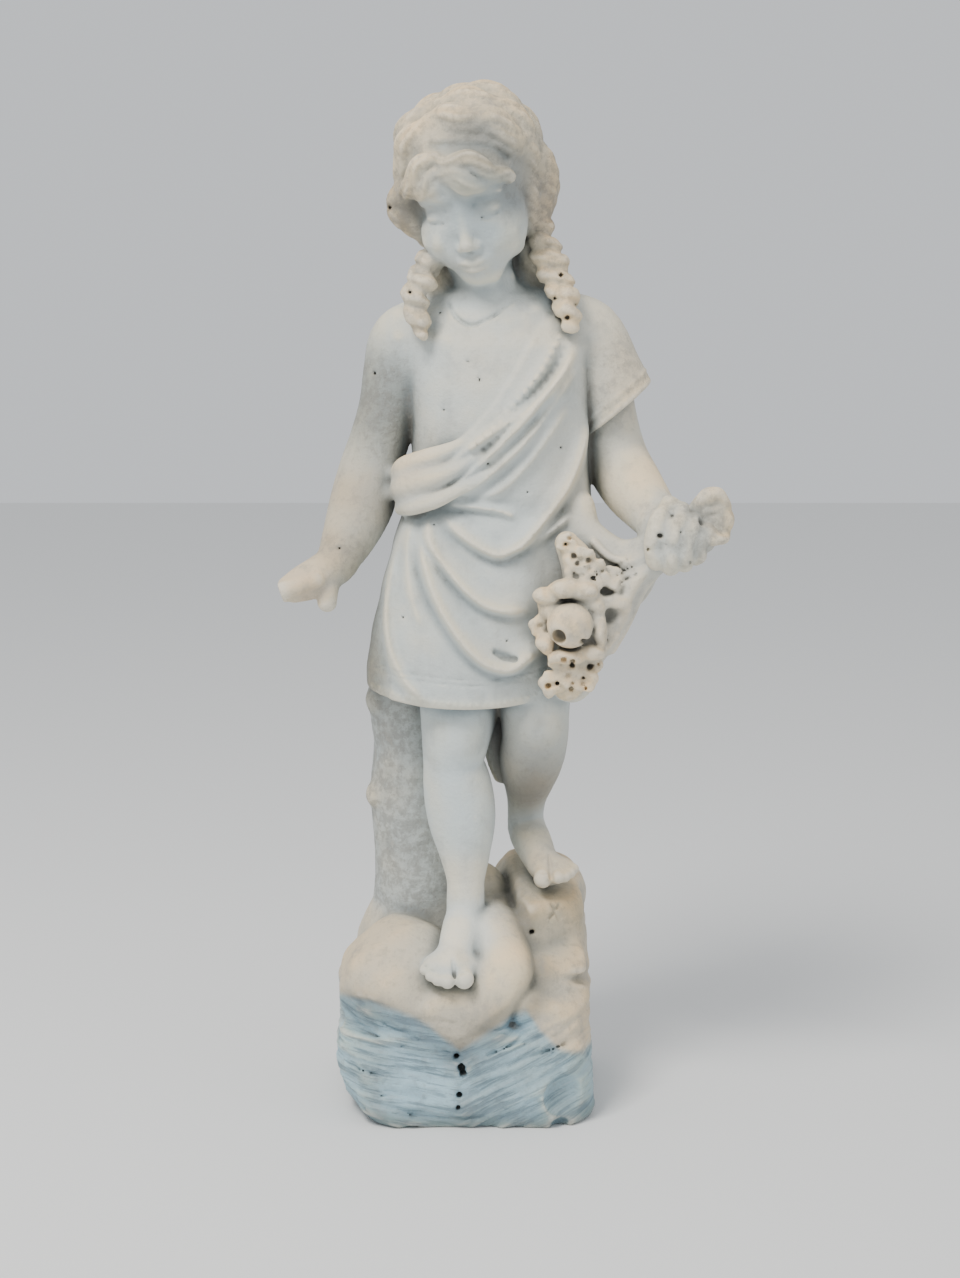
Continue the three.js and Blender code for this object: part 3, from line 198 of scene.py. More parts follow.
def egg(centre, radii, turn=np.eye(3)):
    """An ellipsoid: length k of the point in units of the radii, times (k - 1), over its slope."""
    radii = np.asarray(radii, float)

    def distance(x, y, z):
        off = (x - centre[0], y - centre[1], z - centre[2])
        u, v, w = (sum(turn[row][i] * off[row] for row in range(3)) / radii[i] for i in range(3))
        size = np.sqrt(u * u + v * v + w * w)
        slope = np.sqrt((u / radii[0]) ** 2 + (v / radii[1]) ** 2 + (w / radii[2]) ** 2)
        return size * (size - 1) / (slope + 1e-9)

    return *box_around([centre], radii.max()), distance


def ball(centre, radius):
    """An egg of one radius."""
    return egg(centre, [radius] * 3)


def spline(stations, steps):
    """Points on a smooth curve through the stations (Catmull-Rom, spaced by the root of length)."""
    p = np.asarray(stations, float)
    p = np.vstack([2 * p[0] - p[1], p, 2 * p[-1] - p[-2]])
    gap = np.maximum(((p[1:, :3] - p[:-1, :3]) ** 2).sum(1) ** 0.25, 1e-4)[:, None]
    a, b, c = gap[:-2], gap[1:-1], gap[2:]
    p0, p1, p2, p3 = p[:-3], p[1:-2], p[2:-1], p[3:]
    m1 = ((p1 - p0) / a - (p2 - p0) / (a + b) + (p2 - p1) / b) * b
    m2 = ((p2 - p1) / b - (p3 - p1) / (b + c) + (p3 - p2) / c) * b
    t = (np.arange(steps) / steps)[None, :, None]
    p1, p2, m1, m2 = (v[:, None, :] for v in (p1, p2, m1, m2))
    curve = (
        (2 * t**3 - 3 * t**2 + 1) * p1 + (t**3 - 2 * t**2 + t) * m1
        + (3 * t**2 - 2 * t**3) * p2 + (t**3 - t**2) * m2
    )
    return np.vstack([curve.reshape(-1, p.shape[1]), p[-2]])


def limb(stations, flat=None, steps=5, strands=None):
    """A tube through [x, y, z, radius]: distance to the nearest span of its axis, less its radius
    there. `flat` = (direction, factor) thins it along a direction. `strands` = (count, depth, turns
    per mm, up) cuts V-grooves along it: depth times the radius times 1 - |sin| of half the count
    times the angle round the axis."""
    dots = spline(stations, steps) if steps > 1 else np.asarray(stations, float)
    margin = dots[:, 3].max() + SPAN_MARGIN
    thin, factor = flat or ((0, 0, 0), 1)
    run = np.diff(dots[:, :3], axis=0)
    length = np.concatenate([[0], np.cumsum(np.linalg.norm(run, axis=1))])
    count, depth, twist, up = strands or (0, 0, 0, (0, 0, 1))
    side = unit(np.cross(run, up))
    over = np.cross(side, unit(run))

    def distance(x, y, z):
        least = np.full(np.broadcast_shapes(x.shape, y.shape, z.shape), FAR, np.float32)
        axes = [x.ravel(), y.ravel(), z.ravel()]
        for s, (a, b) in enumerate(zip(dots[:-1], dots[1:])):
            spans = [
                np.searchsorted(axes[i], [min(a[i], b[i]) - margin, max(a[i], b[i]) + margin])
                for i in range(3)
            ]
            part = tuple(slice(*span) for span in spans)
            px, py, pz = x[part[0]] - a[0], y[:, part[1]] - a[1], z[:, :, part[2]] - a[2]
            d = b - a
            t = np.clip((px * d[0] + py * d[1] + pz * d[2]) / (d[:3] @ d[:3] + 1e-9), 0, 1)
            ox, oy, oz = px - d[0] * t, py - d[1] * t, pz - d[2] * t
            if factor != 1:
                lean = (factor - 1) * (ox * thin[0] + oy * thin[1] + oz * thin[2])
                ox, oy, oz = ox + lean * thin[0], oy + lean * thin[1], oz + lean * thin[2]
            radius = a[3] + d[3] * t
            off = np.sqrt(ox * ox + oy * oy + oz * oz) - radius
            if count:
                w = ox * side[s, 0] + oy * side[s, 1] + oz * side[s, 2]
                h = ox * over[s, 0] + oy * over[s, 1] + oz * over[s, 2]
                along = length[s] + t * (length[s + 1] - length[s])
                angle = np.arctan2(w, h) + twist * 2 * np.pi * along
                off = off + depth * radius * (1 - np.abs(np.sin(count / 2 * angle)))
            least[part] = np.minimum(least[part], off)
        return least

    return *box_around(dots, dots[:, 3].max()), distance


def half_space(point, normal):
    """The side of a plane that its normal points away from: how far along the normal."""
    n = np.array(normal, float) / np.linalg.norm(normal)
    return lambda x, y, z: n[0] * x + n[1] * y + n[2] * z - n @ np.array(point, float)


def stone(faces, box, worn=6.0):
    """The space inside a set of planes, [point, outward normal], with edges worn by `worn`."""
    sides = [half_space(*face) for face in faces]

    def distance(x, y, z):
        most = sides[0](x, y, z)
        for side in sides[1:]:
            most = -blend(-most, -side(x, y, z), worn)
        return most

    return *box, distance


print("forms: egg, ball, limb, stone")

# %% [markdown]
# ## Cloth
#
# The tunic hangs as a simple column; its folds are what the eye reads. They could be simulated, but
# carved folds are a pattern that a sculptor chose: a sash from the left shoulder, and loops of cloth
# that hang from the raised corner like swags. So each fold is drawn as a line over the front of the
# gown, and raises a height map beside that line, steep on its lower side where the cloth hangs over.

# %% A height map of folds
FOLD_STEP = 1.0  # mm
CREST_POWER, CREST_ROUND = 1.6, 0.06  # how sharp a fold is, and how round, as a share of its width
TROUGH_AT, TROUGH_HALF = 1.1, 0.7  # of the width: the middle of the trough and half its own width
CLOTH_LOW, CLOTH_HIGH = np.array([-112.0, 400.0]), np.array([152.0, 802.0])
xs = np.arange(CLOTH_LOW[0], CLOTH_HIGH[0], FOLD_STEP)
zs = np.arange(CLOTH_LOW[1], CLOTH_HIGH[1], FOLD_STEP)
drapery = np.zeros((len(xs), len(zs)), np.float32)


def flat_curve(points, per_span=8):
    """A smooth line through [x, z] points."""
    stations = np.insert(np.array(points, float), 1, 0, axis=1)
    return spline(stations, per_span)[:, [0, 2]]


def fold(points, width=10.0, under=None, height=5.0, fade=0.18, trough=0.14):
    """Raises height times (1 - u) to the power of the crest, with u the distance from the line over
    the width on that side, less towards both ends, and sinks a trough beyond the lower side."""
    under = under or width
    line = flat_curve(points)
    best = np.full(drapery.shape, FAR, np.float32)
    along, side = np.zeros_like(best), np.zeros_like(best)
    x, z = xs[:, None], zs[None, :]
    for s, (a, b) in enumerate(zip(line[:-1], line[1:])):
        dx, dz = b - a
        t = np.clip(((x - a[0]) * dx + (z - a[1]) * dz) / (dx * dx + dz * dz), 0, 1)
        off = np.hypot(x - a[0] - dx * t, z - a[1] - dz * t)
        near = off < best
        best = np.where(near, off, best)
        along = np.where(near, (s + t) / (len(line) - 1), along)
        side = np.where(near, dx * (z - a[1]) - dz * (x - a[0]), side)
    u = best / np.where(side > 0, width, under)
    crest = np.clip(1 + CREST_ROUND - np.sqrt(u * u + CREST_ROUND**2), 0, 1) ** CREST_POWER
    hollow = np.where(side < 0, np.clip(1 - np.abs(u - TROUGH_AT) / TROUGH_HALF, 0, 1), 0)
    ends = smooth(along, 0, fade) * smooth(1 - along, 0, fade)
    return height * (crest - trough * hollow * hollow * (3 - 2 * hollow)) * ends


def studs(points, spacing, radius, height, phase=0.0):
    """Round bumps at equal steps along a line, each a dome of the given radius."""
    line = flat_curve(points, 24)
    length = np.concatenate([[0], np.cumsum(np.hypot(*np.diff(line, axis=0).T))])
    at = np.arange(phase * spacing, length[-1], spacing)
    bumps = np.zeros_like(drapery)
    for x0, z0 in zip(np.interp(at, length, line[:, 0]), np.interp(at, length, line[:, 1])):
        off = np.hypot(xs[:, None] - x0, zs[None, :] - z0) / radius
        bumps = np.maximum(bumps, height * np.sqrt(np.clip(1 - off * off, 0, 1)))
    return bumps


FOLDS = [
    # the sash, from the left shoulder to the knot on the right hip
    dict(points=[[90, 775], [72, 738], [48, 708], [20, 682], [-14, 660]], width=9, height=3),
    dict(points=[[110, 770], [92, 735], [62, 704], [34, 684], [10, 668], [-16, 650], [-36, 640]],
         width=13, under=9, height=10),
    dict(points=[[114, 762], [84, 722], [56, 690], [30, 664], [4, 640], [-20, 622], [-36, 616]],
         width=12, under=8, height=10),
    dict(points=[[116, 748], [92, 716], [66, 680], [38, 652], [8, 627], [-22, 611]],
         width=11, under=8, height=9),
    dict(points=[[104, 712], [83, 680], [59, 648], [34, 625], [6, 612]], width=10, height=6),
    dict(points=[[-24, 611], [6, 608], [34, 604], [52, 597]], width=9, under=6, height=7),
    # the first swag runs on up to the shoulder, and a second ridge joins it
    dict(points=[[-26, 606], [-10, 587], [14, 570], [33, 563], [53, 572], [77, 596], [100, 626],
                 [118, 672], [126, 722]], width=17, under=8, height=12),
    dict(points=[[44, 566], [64, 574], [86, 587], [106, 601]], width=9, under=7, height=6),
    dict(points=[[-34, 606], [-35, 577], [-20, 553], [0, 530], [20, 515], [44, 509], [66, 511]],
         width=18, under=8, height=12),
    dict(points=[[-44, 604], [-41, 560], [-30, 524], [-11, 491], [8, 468], [25, 456], [44, 453],
                 [64, 466], [82, 481]], width=21, under=9, height=15),
    dict(points=[[-52, 600], [-56, 560], [-52, 520], [-40, 486]], width=9, height=4),
    # the edge of the skirt's front, which ends in a corner ridge by the hem
    dict(points=[[-58, 606], [-72, 560], [-78, 520], [-76, 480], [-64, 449], [-50, 431], [-32, 417]],
         width=9, under=13, height=8),
    dict(points=[[-66, 600], [-86, 540], [-94, 480], [-96, 420]], width=8, height=5, fade=0.05),
]
for shape in FOLDS:
    drapery += fold(**shape)

# The worked edges: a beaded trimming along the sash, and two drawn threads above the hem.
SASH_EDGE = [[97, 800], [75, 785], [58, 758], [35, 718], [14, 692], [-13, 667], [-34, 652]]
BEADS = [[92, 770], [74, 738], [50, 708], [26, 684], [4, 664]]
HEM_BAND = [[-92, 452], [-60, 447], [-20, 443], [20, 441], [60, 447], [84, 453]]
HEM_THREADS, HEM_STITCHES = (0, -5), 24  # mm from the band
BEAD_STEP, STITCH_STEP = 9, 7  # mm from one to the next
drapery += studs(BEADS, BEAD_STEP, radius=4, height=3)
drapery -= studs([[x + 7, z - 7] for x, z in BEADS], BEAD_STEP, radius=2.6, height=1.2, phase=0.5)
for down in HEM_THREADS:
    thread = [[x, z + down] for x, z in HEM_BAND]
    drapery -= fold(thread, width=2.4, height=1.6, fade=0.02, trough=0)
drapery += studs([[x, z - HEM_STITCHES] for x, z in HEM_BAND], STITCH_STEP, radius=2.6, height=1.6)
print("folds up to", round(float(drapery.max()), 1), "mm proud on", drapery.size, "places")

# %% The gown
HEM, HEM_RISE = 412, 0.0011  # mm, and how much higher the hem is for each square mm to the side
GOWN = [  # height, then how far it reaches right, left, front and back
    [404, -98, 96, -84, 80], [440, -99, 106, -86, 80], [475, -94, 116, -88, 76],
    [520, -84, 122, -84, 70], [565, -72, 126, -76, 63], [605, -60, 125, -70, 58],
    [640, -53, 121, -70, 56], [680, -51, 120, -73, 60], [720, -55, 123, -70, 62],
    [760, -58, 124, -60, 58], [785, -46, 106, -48, 52], [806, -22, 74, -34, 42],
]
GOWN_SQUARE = 2.15  # 2 is an oval section, more is squarer
ROW_CURVE = 0.4  # share of an S-curve between two rows, the rest is straight
SASH_THICK, SASH_LOW, SASH_TAPER = 3.5, 600, 25
SKIRT_THICK, SKIRT_TOP, SKIRT_TAPER = 5, 615, 30
PLEAT_DEPTH, PLEAT_TURN, PLEAT_LEAN = 2.5, 0.17, 0.01  # the pleats down the back
PLEAT_TOP, PLEAT_TAPER = 640, 120
FRONT_EDGE = [[-58, 620], [-66, 580], [-75, 540], [-80, 500], [-78, 470], [-74, 400]]
KNOT = [[-45, -46, 630], [24, 28, 27]]  # the gathered cloth on the right hip
KNOT_BODY = [[-50, -46, 630, 18], [-24, -56, 634, 18], [4, -60, 644, 14], [26, -62, 664, 8]]
KNOT_FOLDS = [  # rolls that come down the sash and wrap round the knot
    [[-66, -28, 636, 8], [-56, -56, 646, 10], [-36, -70, 654, 10], [-12, -73, 664, 7],
     [8, -71, 676, 3]],
    [[-68, -28, 618, 8], [-56, -58, 626, 10], [-34, -75, 634, 10], [-8, -78, 645, 6],
     [14, -76, 658, 3]],
    [[-62, -38, 603, 7], [-48, -67, 608, 8], [-24, -78, 616, 7], [2, -79, 629, 4],
     [20, -78, 640, 2]],
]


def gown_row(z):
    """The gown's reach at each height, between an S-curve and a straight line from row to row."""
    rows = np.array(GOWN, float)
    heights = rows[:, 0]
    at = np.clip(np.searchsorted(heights, z) - 1, 0, len(rows) - 2)
    t = np.clip((z - heights[at]) / (heights[at + 1] - heights[at]), 0, 1)
    t = ROW_CURVE * (t * t * (3 - 2 * t)) + (1 - ROW_CURVE) * t
    return [rows[at, i] + (rows[at + 1, i] - rows[at, i]) * t for i in range(1, 5)]


def gown():
    """A column of rounded sections: distance from its axis times (1 - 1 / share), where share is
    the section's superellipse norm, less the height of the folds on its front."""
    sash = flat_curve(SASH_EDGE, 12)[::-1]
    front_edge = flat_curve(FRONT_EDGE, 12)[::-1]

    def distance(x, y, z):
        right, left, front_y, back_y = gown_row(z)
        cx, a = (right + left) / 2, (left - right) / 2
        cy, b = (front_y + back_y) / 2, (back_y - front_y) / 2
        u, v = (x - cx) / a, (y - cy) / b
        share = (np.abs(u) ** GOWN_SQUARE + np.abs(v) ** GOWN_SQUARE) ** (1 / GOWN_SQUARE)
        front = smooth(-v, 0.1, 0.7)
        edge = np.interp(z, sash[:, 1], sash[:, 0])
        layer = SASH_THICK * smooth(x - edge, -2, 3)
        layer = layer * smooth(z, SASH_LOW, SASH_LOW + SASH_TAPER)
        skirt = np.interp(z, front_edge[:, 1], front_edge[:, 0])
        lap = SKIRT_THICK * smooth(x - skirt, -3, 4) * smooth(SKIRT_TOP - z, 0, SKIRT_TAPER)
        layer = layer + lap
        i = np.clip(np.round((x - CLOTH_LOW[0]) / FOLD_STEP).astype(int), 0, len(xs) - 1)
        k = np.clip(np.round((z - CLOTH_LOW[1]) / FOLD_STEP).astype(int), 0, len(zs) - 1)
        cloth = (drapery[i, k] + layer) * front
        pleats = PLEAT_DEPTH * smooth(v, 0, 0.6) * smooth(PLEAT_TOP - z, 0, PLEAT_TAPER)
        pleats = pleats * np.sin(x * PLEAT_TURN + z * PLEAT_LEAN)
        side = np.hypot(x - cx, y - cy) * (1 - 1 / np.maximum(share, 0.02)) - cloth - pleats
        ends = np.maximum(HEM + HEM_RISE * x * x - z, z - GOWN[-1][0])
        return -blend(-side, -ends, 3)

    return (-110, -100, HEM - 12), (140, 95, GOWN[-1][0] + 20), distance


block.add(gown(), 0, "cloth")
block.add(egg(*KNOT), 10, "cloth")
block.add(limb(KNOT_BODY), 8, "cloth")
for stations in KNOT_FOLDS:
    block.add(limb(stations), 8, "cloth")
print("gown from", HEM, "to", GOWN[-1][0], "mm")

# %% [markdown]
# ## Body, stump and rock
#
# The arms and legs are limbs with stations at the shoulder, elbow, wrist, knee and ankle, thicker
# where a small child's muscle is. The rock is not round: it is planes with worn edges, cut back by
# ledges that dip to the middle of the front, as its bedding does.

# %% Trunk of the body and the right arm
CHEST = [
    [-50, 8, 756, 38], [-12, 4, 770, 44], [30, 2, 774, 46], [78, 6, 772, 44], [112, 12, 760, 38],
]
RIGHT_ARM = [
    [-38, 14, 772, 34], [-58, 10, 762, 36], [-68, 8, 738, 32], [-76, 6, 700, 29], [-85, 5, 668, 29],
    [-93, 4, 640, 31], [-102, -6, 606, 32], [-113, -24, 577, 27], [-127, -45, 548, 19],
]
RIGHT_PALM = [
    [-124, -42, 551, 19], [-139, -54, 541, 20], [-154, -60, 533, 19], [-168, -64, 527, 15],
]
PALM_FLAT = (0.45, 0.6, 0.66), 1.35  # across the palm, and how much thinner it is that way
RIGHT_THUMB = [[-130, -48, 545, 13], [-134, -60, 526, 11], [-134, -63, 514, 9.5]]
FINGERS_RIGHT = [  # closed fingers, broken off at the middle joint
    [[-144, -70, 538], [-184, -78, 524]], [[-146, -62, 534], [-188, -68, 519]],
    [[-146, -54, 532], [-188, -58, 519]], [[-144, -48, 534], [-184, -50, 523]],
]
FINGER_ROOT, FINGER_TIP = 10, 8.5  # mm, radii
HAND_BOX = (-200, -100, 500), (-170, -30, 545)
BROKEN_END = half_space([-180, -60, 525], [-0.94, -0.1, -0.32])

block.add(limb(CHEST), 14)
block.add(limb(RIGHT_ARM), 10)
block.add(limb(RIGHT_PALM, flat=PALM_FLAT), 4)
block.add(limb(RIGHT_THUMB), 3)
for root, tip in FINGERS_RIGHT:
    block.add(limb([[*root, FINGER_ROOT], [*tip, FINGER_TIP]]), 2)
block.cut((*HAND_BOX, lambda x, y, z: -BROKEN_END(x, y, z)), 1)
print("chest and right arm added")

# %% Stump and rock
STUMP = [
    [-50, 44, 440, 44], [-54, 45, 400, 45], [-52, 45, 355, 42], [-54, 46, 302, 44],
    [-50, 46, 240, 44], [-46, 46, 180, 50], [-44, 46, 90, 60],
]
KNOTS = [[-86, 30, 402, 15], [-90, 30, 302, 12]]
BASE_RIGHT, BASE_LEFT, BASE_FRONT, BASE_BACK = -133, 131, -125, 120
PLAN_WORN = 20  # mm, how round its edges are
PLAN = [  # the planes that bound the whole rock, [point, outward normal], as for each stone below
    [[BASE_RIGHT, 0, 40], [-1, 0, 0.02]], [[BASE_LEFT, 0, 40], [1, 0, 0.03]],
    [[0, BASE_FRONT, 30], [0, -1, 0.02]], [[0, BASE_BACK, 30], [0, 1, 0.05]],
    [[-124, -104, 40], [-1, -1, 0]], [[118, -112, 40], [1, -0.9, 0.12]],
    [[116, 108, 40], [1, 1, 0.1]], [[-116, 108, 40], [-1, 1, 0.1]],
    [[-128, -60, 22], [-0.8, -0.25, -0.6]], [[0, 0, -10], [0, 0, -1]],
]
LOWER_BLOCK = [  # the bedded front, lowest where its two slopes meet
    [[-60, -90, 112], [-0.18, -0.4, 1]], [[60, -90, 106], [0.2, -0.4, 1]],
    [[0, 60, 118], [0, 0.25, 1]],
]
LEFT_FOOT_STONE = [
    [[124, 20, 196], [1, -0.1, 0.15]], [[112, -30, 180], [0.8, -1, 0.3]],
    [[80, -62, 190], [-0.1, -1, 0.35]], [[36, 0, 190], [-1, -0.2, 0.4]],
    [[70, 100, 170], [0.2, 1, 0.25]], [[84, -20, 217], [0.15, -0.2, 1]],
    [[64, 50, 243], [0.1, -0.3, 1]], [[112, 20, 230], [0.84, 0, 0.55]],
]
LEDGE = [
    [[122, 0, 150], [1, 0, 0.1]], [[110, -80, 150], [0.6, -1, 0.2]],
    [[80, -88, 150], [-0.3, -1, 0.3]], [[56, 0, 140], [-1, 0, 0]], [[90, -40, 172], [0.2, -0.3, 1]],
    [[90, 100, 130], [0, 1, 0.1]],
]
CORNER_STONE = [
    [[130, 0, 106], [1, 0, 0.1]], [[116, -100, 110], [0.7, -1, 0.15]],
    [[70, -116, 110], [-0.2, -1, 0.3]], [[44, -60, 110], [-1, -0.2, 0.3]],
    [[96, -60, 138], [0.15, -0.35, 1]], [[90, 90, 110], [0, 1, 0.2]],
]
BOULDERS = [
    [[-62, -28, 106], [72, 92, 84]], [[-12, -66, 104], [50, 62, 50]],
    [[-34, 44, 130], [84, 66, 88]], [[14, 24, 150], [44, 50, 84]], [[-14, -96, 112], [44, 34, 33]],
    [[60, -80, 112], [26, 34, 28]],
]
MOUND = [[28, -6, 186, 26], [30, -50, 172, 34], [34, -84, 148, 34], [24, -98, 116, 28]]
ROCK_BOX = (-200, -152, -20), (200, 132, 300)
LIPS = [  # the two undercuts below the upper rock, which meet in a point
    [[-4, -124, 77, 10], [-20, -124, 87, 8], [-38, -124, 98, 7], [-62, -122, 113, 5],
     [-93, -106, 122, 4], [-124, -72, 118, 3]],
    [[-4, -124, 77, 10], [13, -124, 93, 10], [38, -122, 112, 9], [56, -118, 123, 8],
     [68, -110, 133, 6], [75, -96, 150, 5], [72, -84, 172, 5], [60, -60, 196, 6], [42, -20, 216, 6]],
]
CLEFTS = [  # joints between the stones, and the seam down the front
    [[74, -96, 150, 4], [100, -86, 142, 4], [128, -40, 132, 7], [130, 20, 130, 8],
     [130, 100, 130, 8]],
    [[66, -70, 179, 4], [84, -72, 180, 3], [108, -58, 180, 4], [128, -10, 178, 9],
     [127, 100, 176, 9]],
    [[-6, -129, 78, 4], [-5, -127, 60, 3], [-6, -127, 16, 3]],
    [[-110, -60, 172, 4], [-132, 10, 180, 4], [-120, 70, 176, 4]],
]
SCRATCHES = [  # [x, z, half-width] lines cut into the front
    [[86, 204, 1.6], [94, 190, 1.6]], [[94, 203, 1.4], [84, 192, 1.4]],
    [[10, 92, 1.4], [30, 98, 1.8], [42, 96, 1.4]], [[22, 74, 1.4], [52, 88, 1.8], [80, 92, 1.4]],
    [[30, 58, 1.4], [66, 74, 1.8], [100, 84, 1.4]], [[-110, 60, 1.6], [-84, 54, 1.4]],
    [[-120, 96, 1.4], [-92, 92, 1.8], [-60, 84, 1.4]],
    [[-80, 104, 1.4], [-40, 88, 1.8], [-16, 76, 1.4]],
    [[-120, 40, 1.6], [-80, 34, 1.4], [-40, 30, 1.6]],
    [[-100, 18, 1.6], [-40, 12, 1.4], [20, 12, 1.6]],
]
DRILLED = [[-9, 72, 3.5], [-4, 62, 4.5], [-2, 56, 4.5], [-6, 35, 4], [-7, 22, 3], [66, 181, 3]]
CHIPS = [  # middle, radii: lost flakes
    [[104, -121, 32], [27, 16, 25]], [[94, -126, 2], [12, 20, 10]],
    [[-96, -112, 150], [15, 12, 14]], [[-126, -66, 92], [10, 24, 12]],
    [[-104, -118, 140], [6, 10, 20]],
]
BED_MIDDLE, DIP_RIGHT, DIP_LEFT = -5, 0.16, 0.52
BEDS = [[19, 2.6], [8.3, 1.5]]  # pitch and depth of the coarse and the fine beds
BED_CLIMB = 0.7  # share of a bed that climbs, before it falls back
BED_WOBBLE, WOBBLE_SIZE, RAGGED_SIZE = 5, 31, 24  # mm
BEDS_TOP, BEDS_FADE = 100, 24  # mm: the beds end above this, over so much more
SCORE_DEPTH, SCORE_SIZE, SCORE_PITCH = 2.2, 17, 3.6  # mm: scratches that run along the beds
HEWN = [  # wavelength, direction and depth of the tool's flat facets
    [62, 0.8, 0.35, 0.5, 2.5], [47, -0.5, 0.75, 0.45, 2], [34, 0.3, -0.6, 0.75, 1.2],
]


def speckle(x, y, z, seed):
    """Smooth random numbers from 0 to 1, one for each whole x, y and z, blended between."""
    numbers = np.random.default_rng(seed).random((16, 16, 16), dtype=np.float32)
    first = [np.floor(v).astype(int) for v in (x, y, z)]
    part = [smooth(v - f, 0, 1) for v, f in zip((x, y, z), first)]
    value = 0
    for corner in np.ndindex(2, 2, 2):
        weight = 1
        for p, c in zip(part, corner):
            weight = weight * (p if c else 1 - p)
        value = value + weight * numbers[tuple((f + c) % 16 for f, c in zip(first, corner))]
    return value


def bedding(x, y, z):
    """Height above the bed that passes through the middle of the front: beds dip towards it."""
    off = x - BED_MIDDLE
    return z - np.where(off > 0, DIP_LEFT, -DIP_RIGHT) * off


def ruggedness(x, y, z):
    """How much the weather and the pick took off: ragged sawteeth across the beds low down, long
    scratches along them, and folded waves all over."""
    wobble = speckle(x / WOBBLE_SIZE, y / WOBBLE_SIZE, z / WOBBLE_SIZE, 5)
    bed = bedding(x, y, z) + BED_WOBBLE * wobble
    low_down = smooth(-z, -BEDS_TOP - BEDS_FADE, -BEDS_TOP)
    taken = 0
    for seed, (pitch, depth) in enumerate(BEDS):
        t = bed / pitch - np.floor(bed / pitch)
        ragged = speckle(x / RAGGED_SIZE, y / RAGGED_SIZE, bed / pitch, seed + 11)
        taken = taken + depth * ragged * np.minimum(t / BED_CLIMB, (1 - t) / (1 - BED_CLIMB))
    scores = speckle(x / SCORE_SIZE, y / SCORE_SIZE, bed / SCORE_PITCH, 7)
    taken = taken + SCORE_DEPTH * scores
    taken = taken * low_down
    for wave, a, b, c, depth in HEWN:
        phase = (a * x + b * y + c * z) / wave
        taken = taken + depth * np.abs(2 * (phase - np.floor(phase)) - 1)
    return taken


ROCK_SOFT = 5
RUGGED = ruggedness(*block.window(*ROCK_BOX, ROCK_SOFT + MARGIN)[1])


def weathered(form):
    """The same form with its surface cut back by the ruggedness there."""
    return *ROCK_BOX, lambda x, y, z: form[2](x, y, z) + RUGGED


def opposite(form):
    """Everything outside a form."""
    low, high, distance = form
    return low, high, lambda x, y, z: -distance(x, y, z)


block.add(limb(STUMP), 4, "stump")
for x, y, z, radius in KNOTS:
    block.add(ball([x, y, z], radius), 10, "stump")
STONES = (LOWER_BLOCK, 10), (LEFT_FOOT_STONE, 12), (LEDGE, 12), (CORNER_STONE, 16)
for faces, worn in STONES:
    block.add(weathered(stone(faces, ROCK_BOX, worn)), ROCK_SOFT, "rock")
for centre, radii in BOULDERS:
    block.add(weathered(egg(centre, radii)), ROCK_SOFT, "rock")
block.add(weathered(limb(MOUND)), ROCK_SOFT, "rock")
block.cut(opposite(weathered(stone(PLAN, ROCK_BOX, PLAN_WORN))), ROCK_SOFT)
for line in LIPS + CLEFTS:
    block.cut(limb(line), 4)
for centre, radii in CHIPS:
    block.cut(egg(centre, radii), 2)
for line in SCRATCHES:
    block.cut(limb(laid(line)), 2)


SMALL_HOLE = 5  # mm deep


def drill(x, z, radius, depth, lean=(0, 0)):
    """A round hole from the marble's front, `depth` mm back, leaning by so many mm over its depth."""
    _, y, _, _ = laid([[x, z, radius]])[0]
    block.cut(limb([[x, y - 8, z, radius], [x + lean[0], y + depth, z + lean[1], radius * 0.8]]), 1)


for x, z, radius in DRILLED:
    drill(x, z, radius, 3 * radius)
print("stump and", len(STONES) + len(BOULDERS), "stones added")

# %% Legs and feet
RIGHT_LEG = [
    [-4, -22, 440, 44], [-6, -30, 405, 39], [-10, -38, 372, 33], [-12, -36, 350, 30],
    [-8, -32, 325, 34], [-4, -32, 295, 34], [-1, -38, 262, 26], [0, -42, 232, 19], [0, -44, 210, 19],
]
LEFT_LEG = [
    [64, -26, 436, 42], [68, -34, 403, 35], [69, -30, 376, 33], [66, -14, 350, 32],
    [64, 8, 325, 26], [62, 28, 300, 20], [61, 42, 276, 18],
]
RIGHT_FOOT = [[2, -24, 188, 20], [-2, -56, 186, 21], [-8, -84, 176, 18], [-13, -104, 165, 15]]
LEFT_FOOT = [[60, 56, 262, 17], [66, 28, 258, 20], [76, -2, 242, 17], [84, -18, 234, 14]]
RIGHT_BALL = [[-15, -100, 161], [27, 24, 14]]
LEFT_BALL = [[88, -14, 236], [23, 20, 12]]
RIGHT_TOES = [  # the big one first
    [-1, -122, 153, 10], [-17, -126, 152, 7.5], [-26, -122, 153, 7], [-33, -116, 155, 6.5],
    [-39, -107, 158, 6],
]
LEFT_TOES = [
    [77, -38, 231, 9.5], [92, -39, 233, 7], [99, -35, 233, 6.5], [105, -28, 235, 6],
    [109, -20, 237, 5.5],
]
TOE_ROOT = (0.3, 0.7, 0.6)  # how far a toe reaches back to the ball of the foot, in x, y and z
WEB = [[33, 6, 428, 20], [33, 8, 385, 18], [34, 12, 345, 14], [36, 18, 326, 9]]  # between the legs
KNEECAPS = [[[-8, -58, 384], [20, 14, 22]], [[72, -56, 390], [18, 12, 20]]]


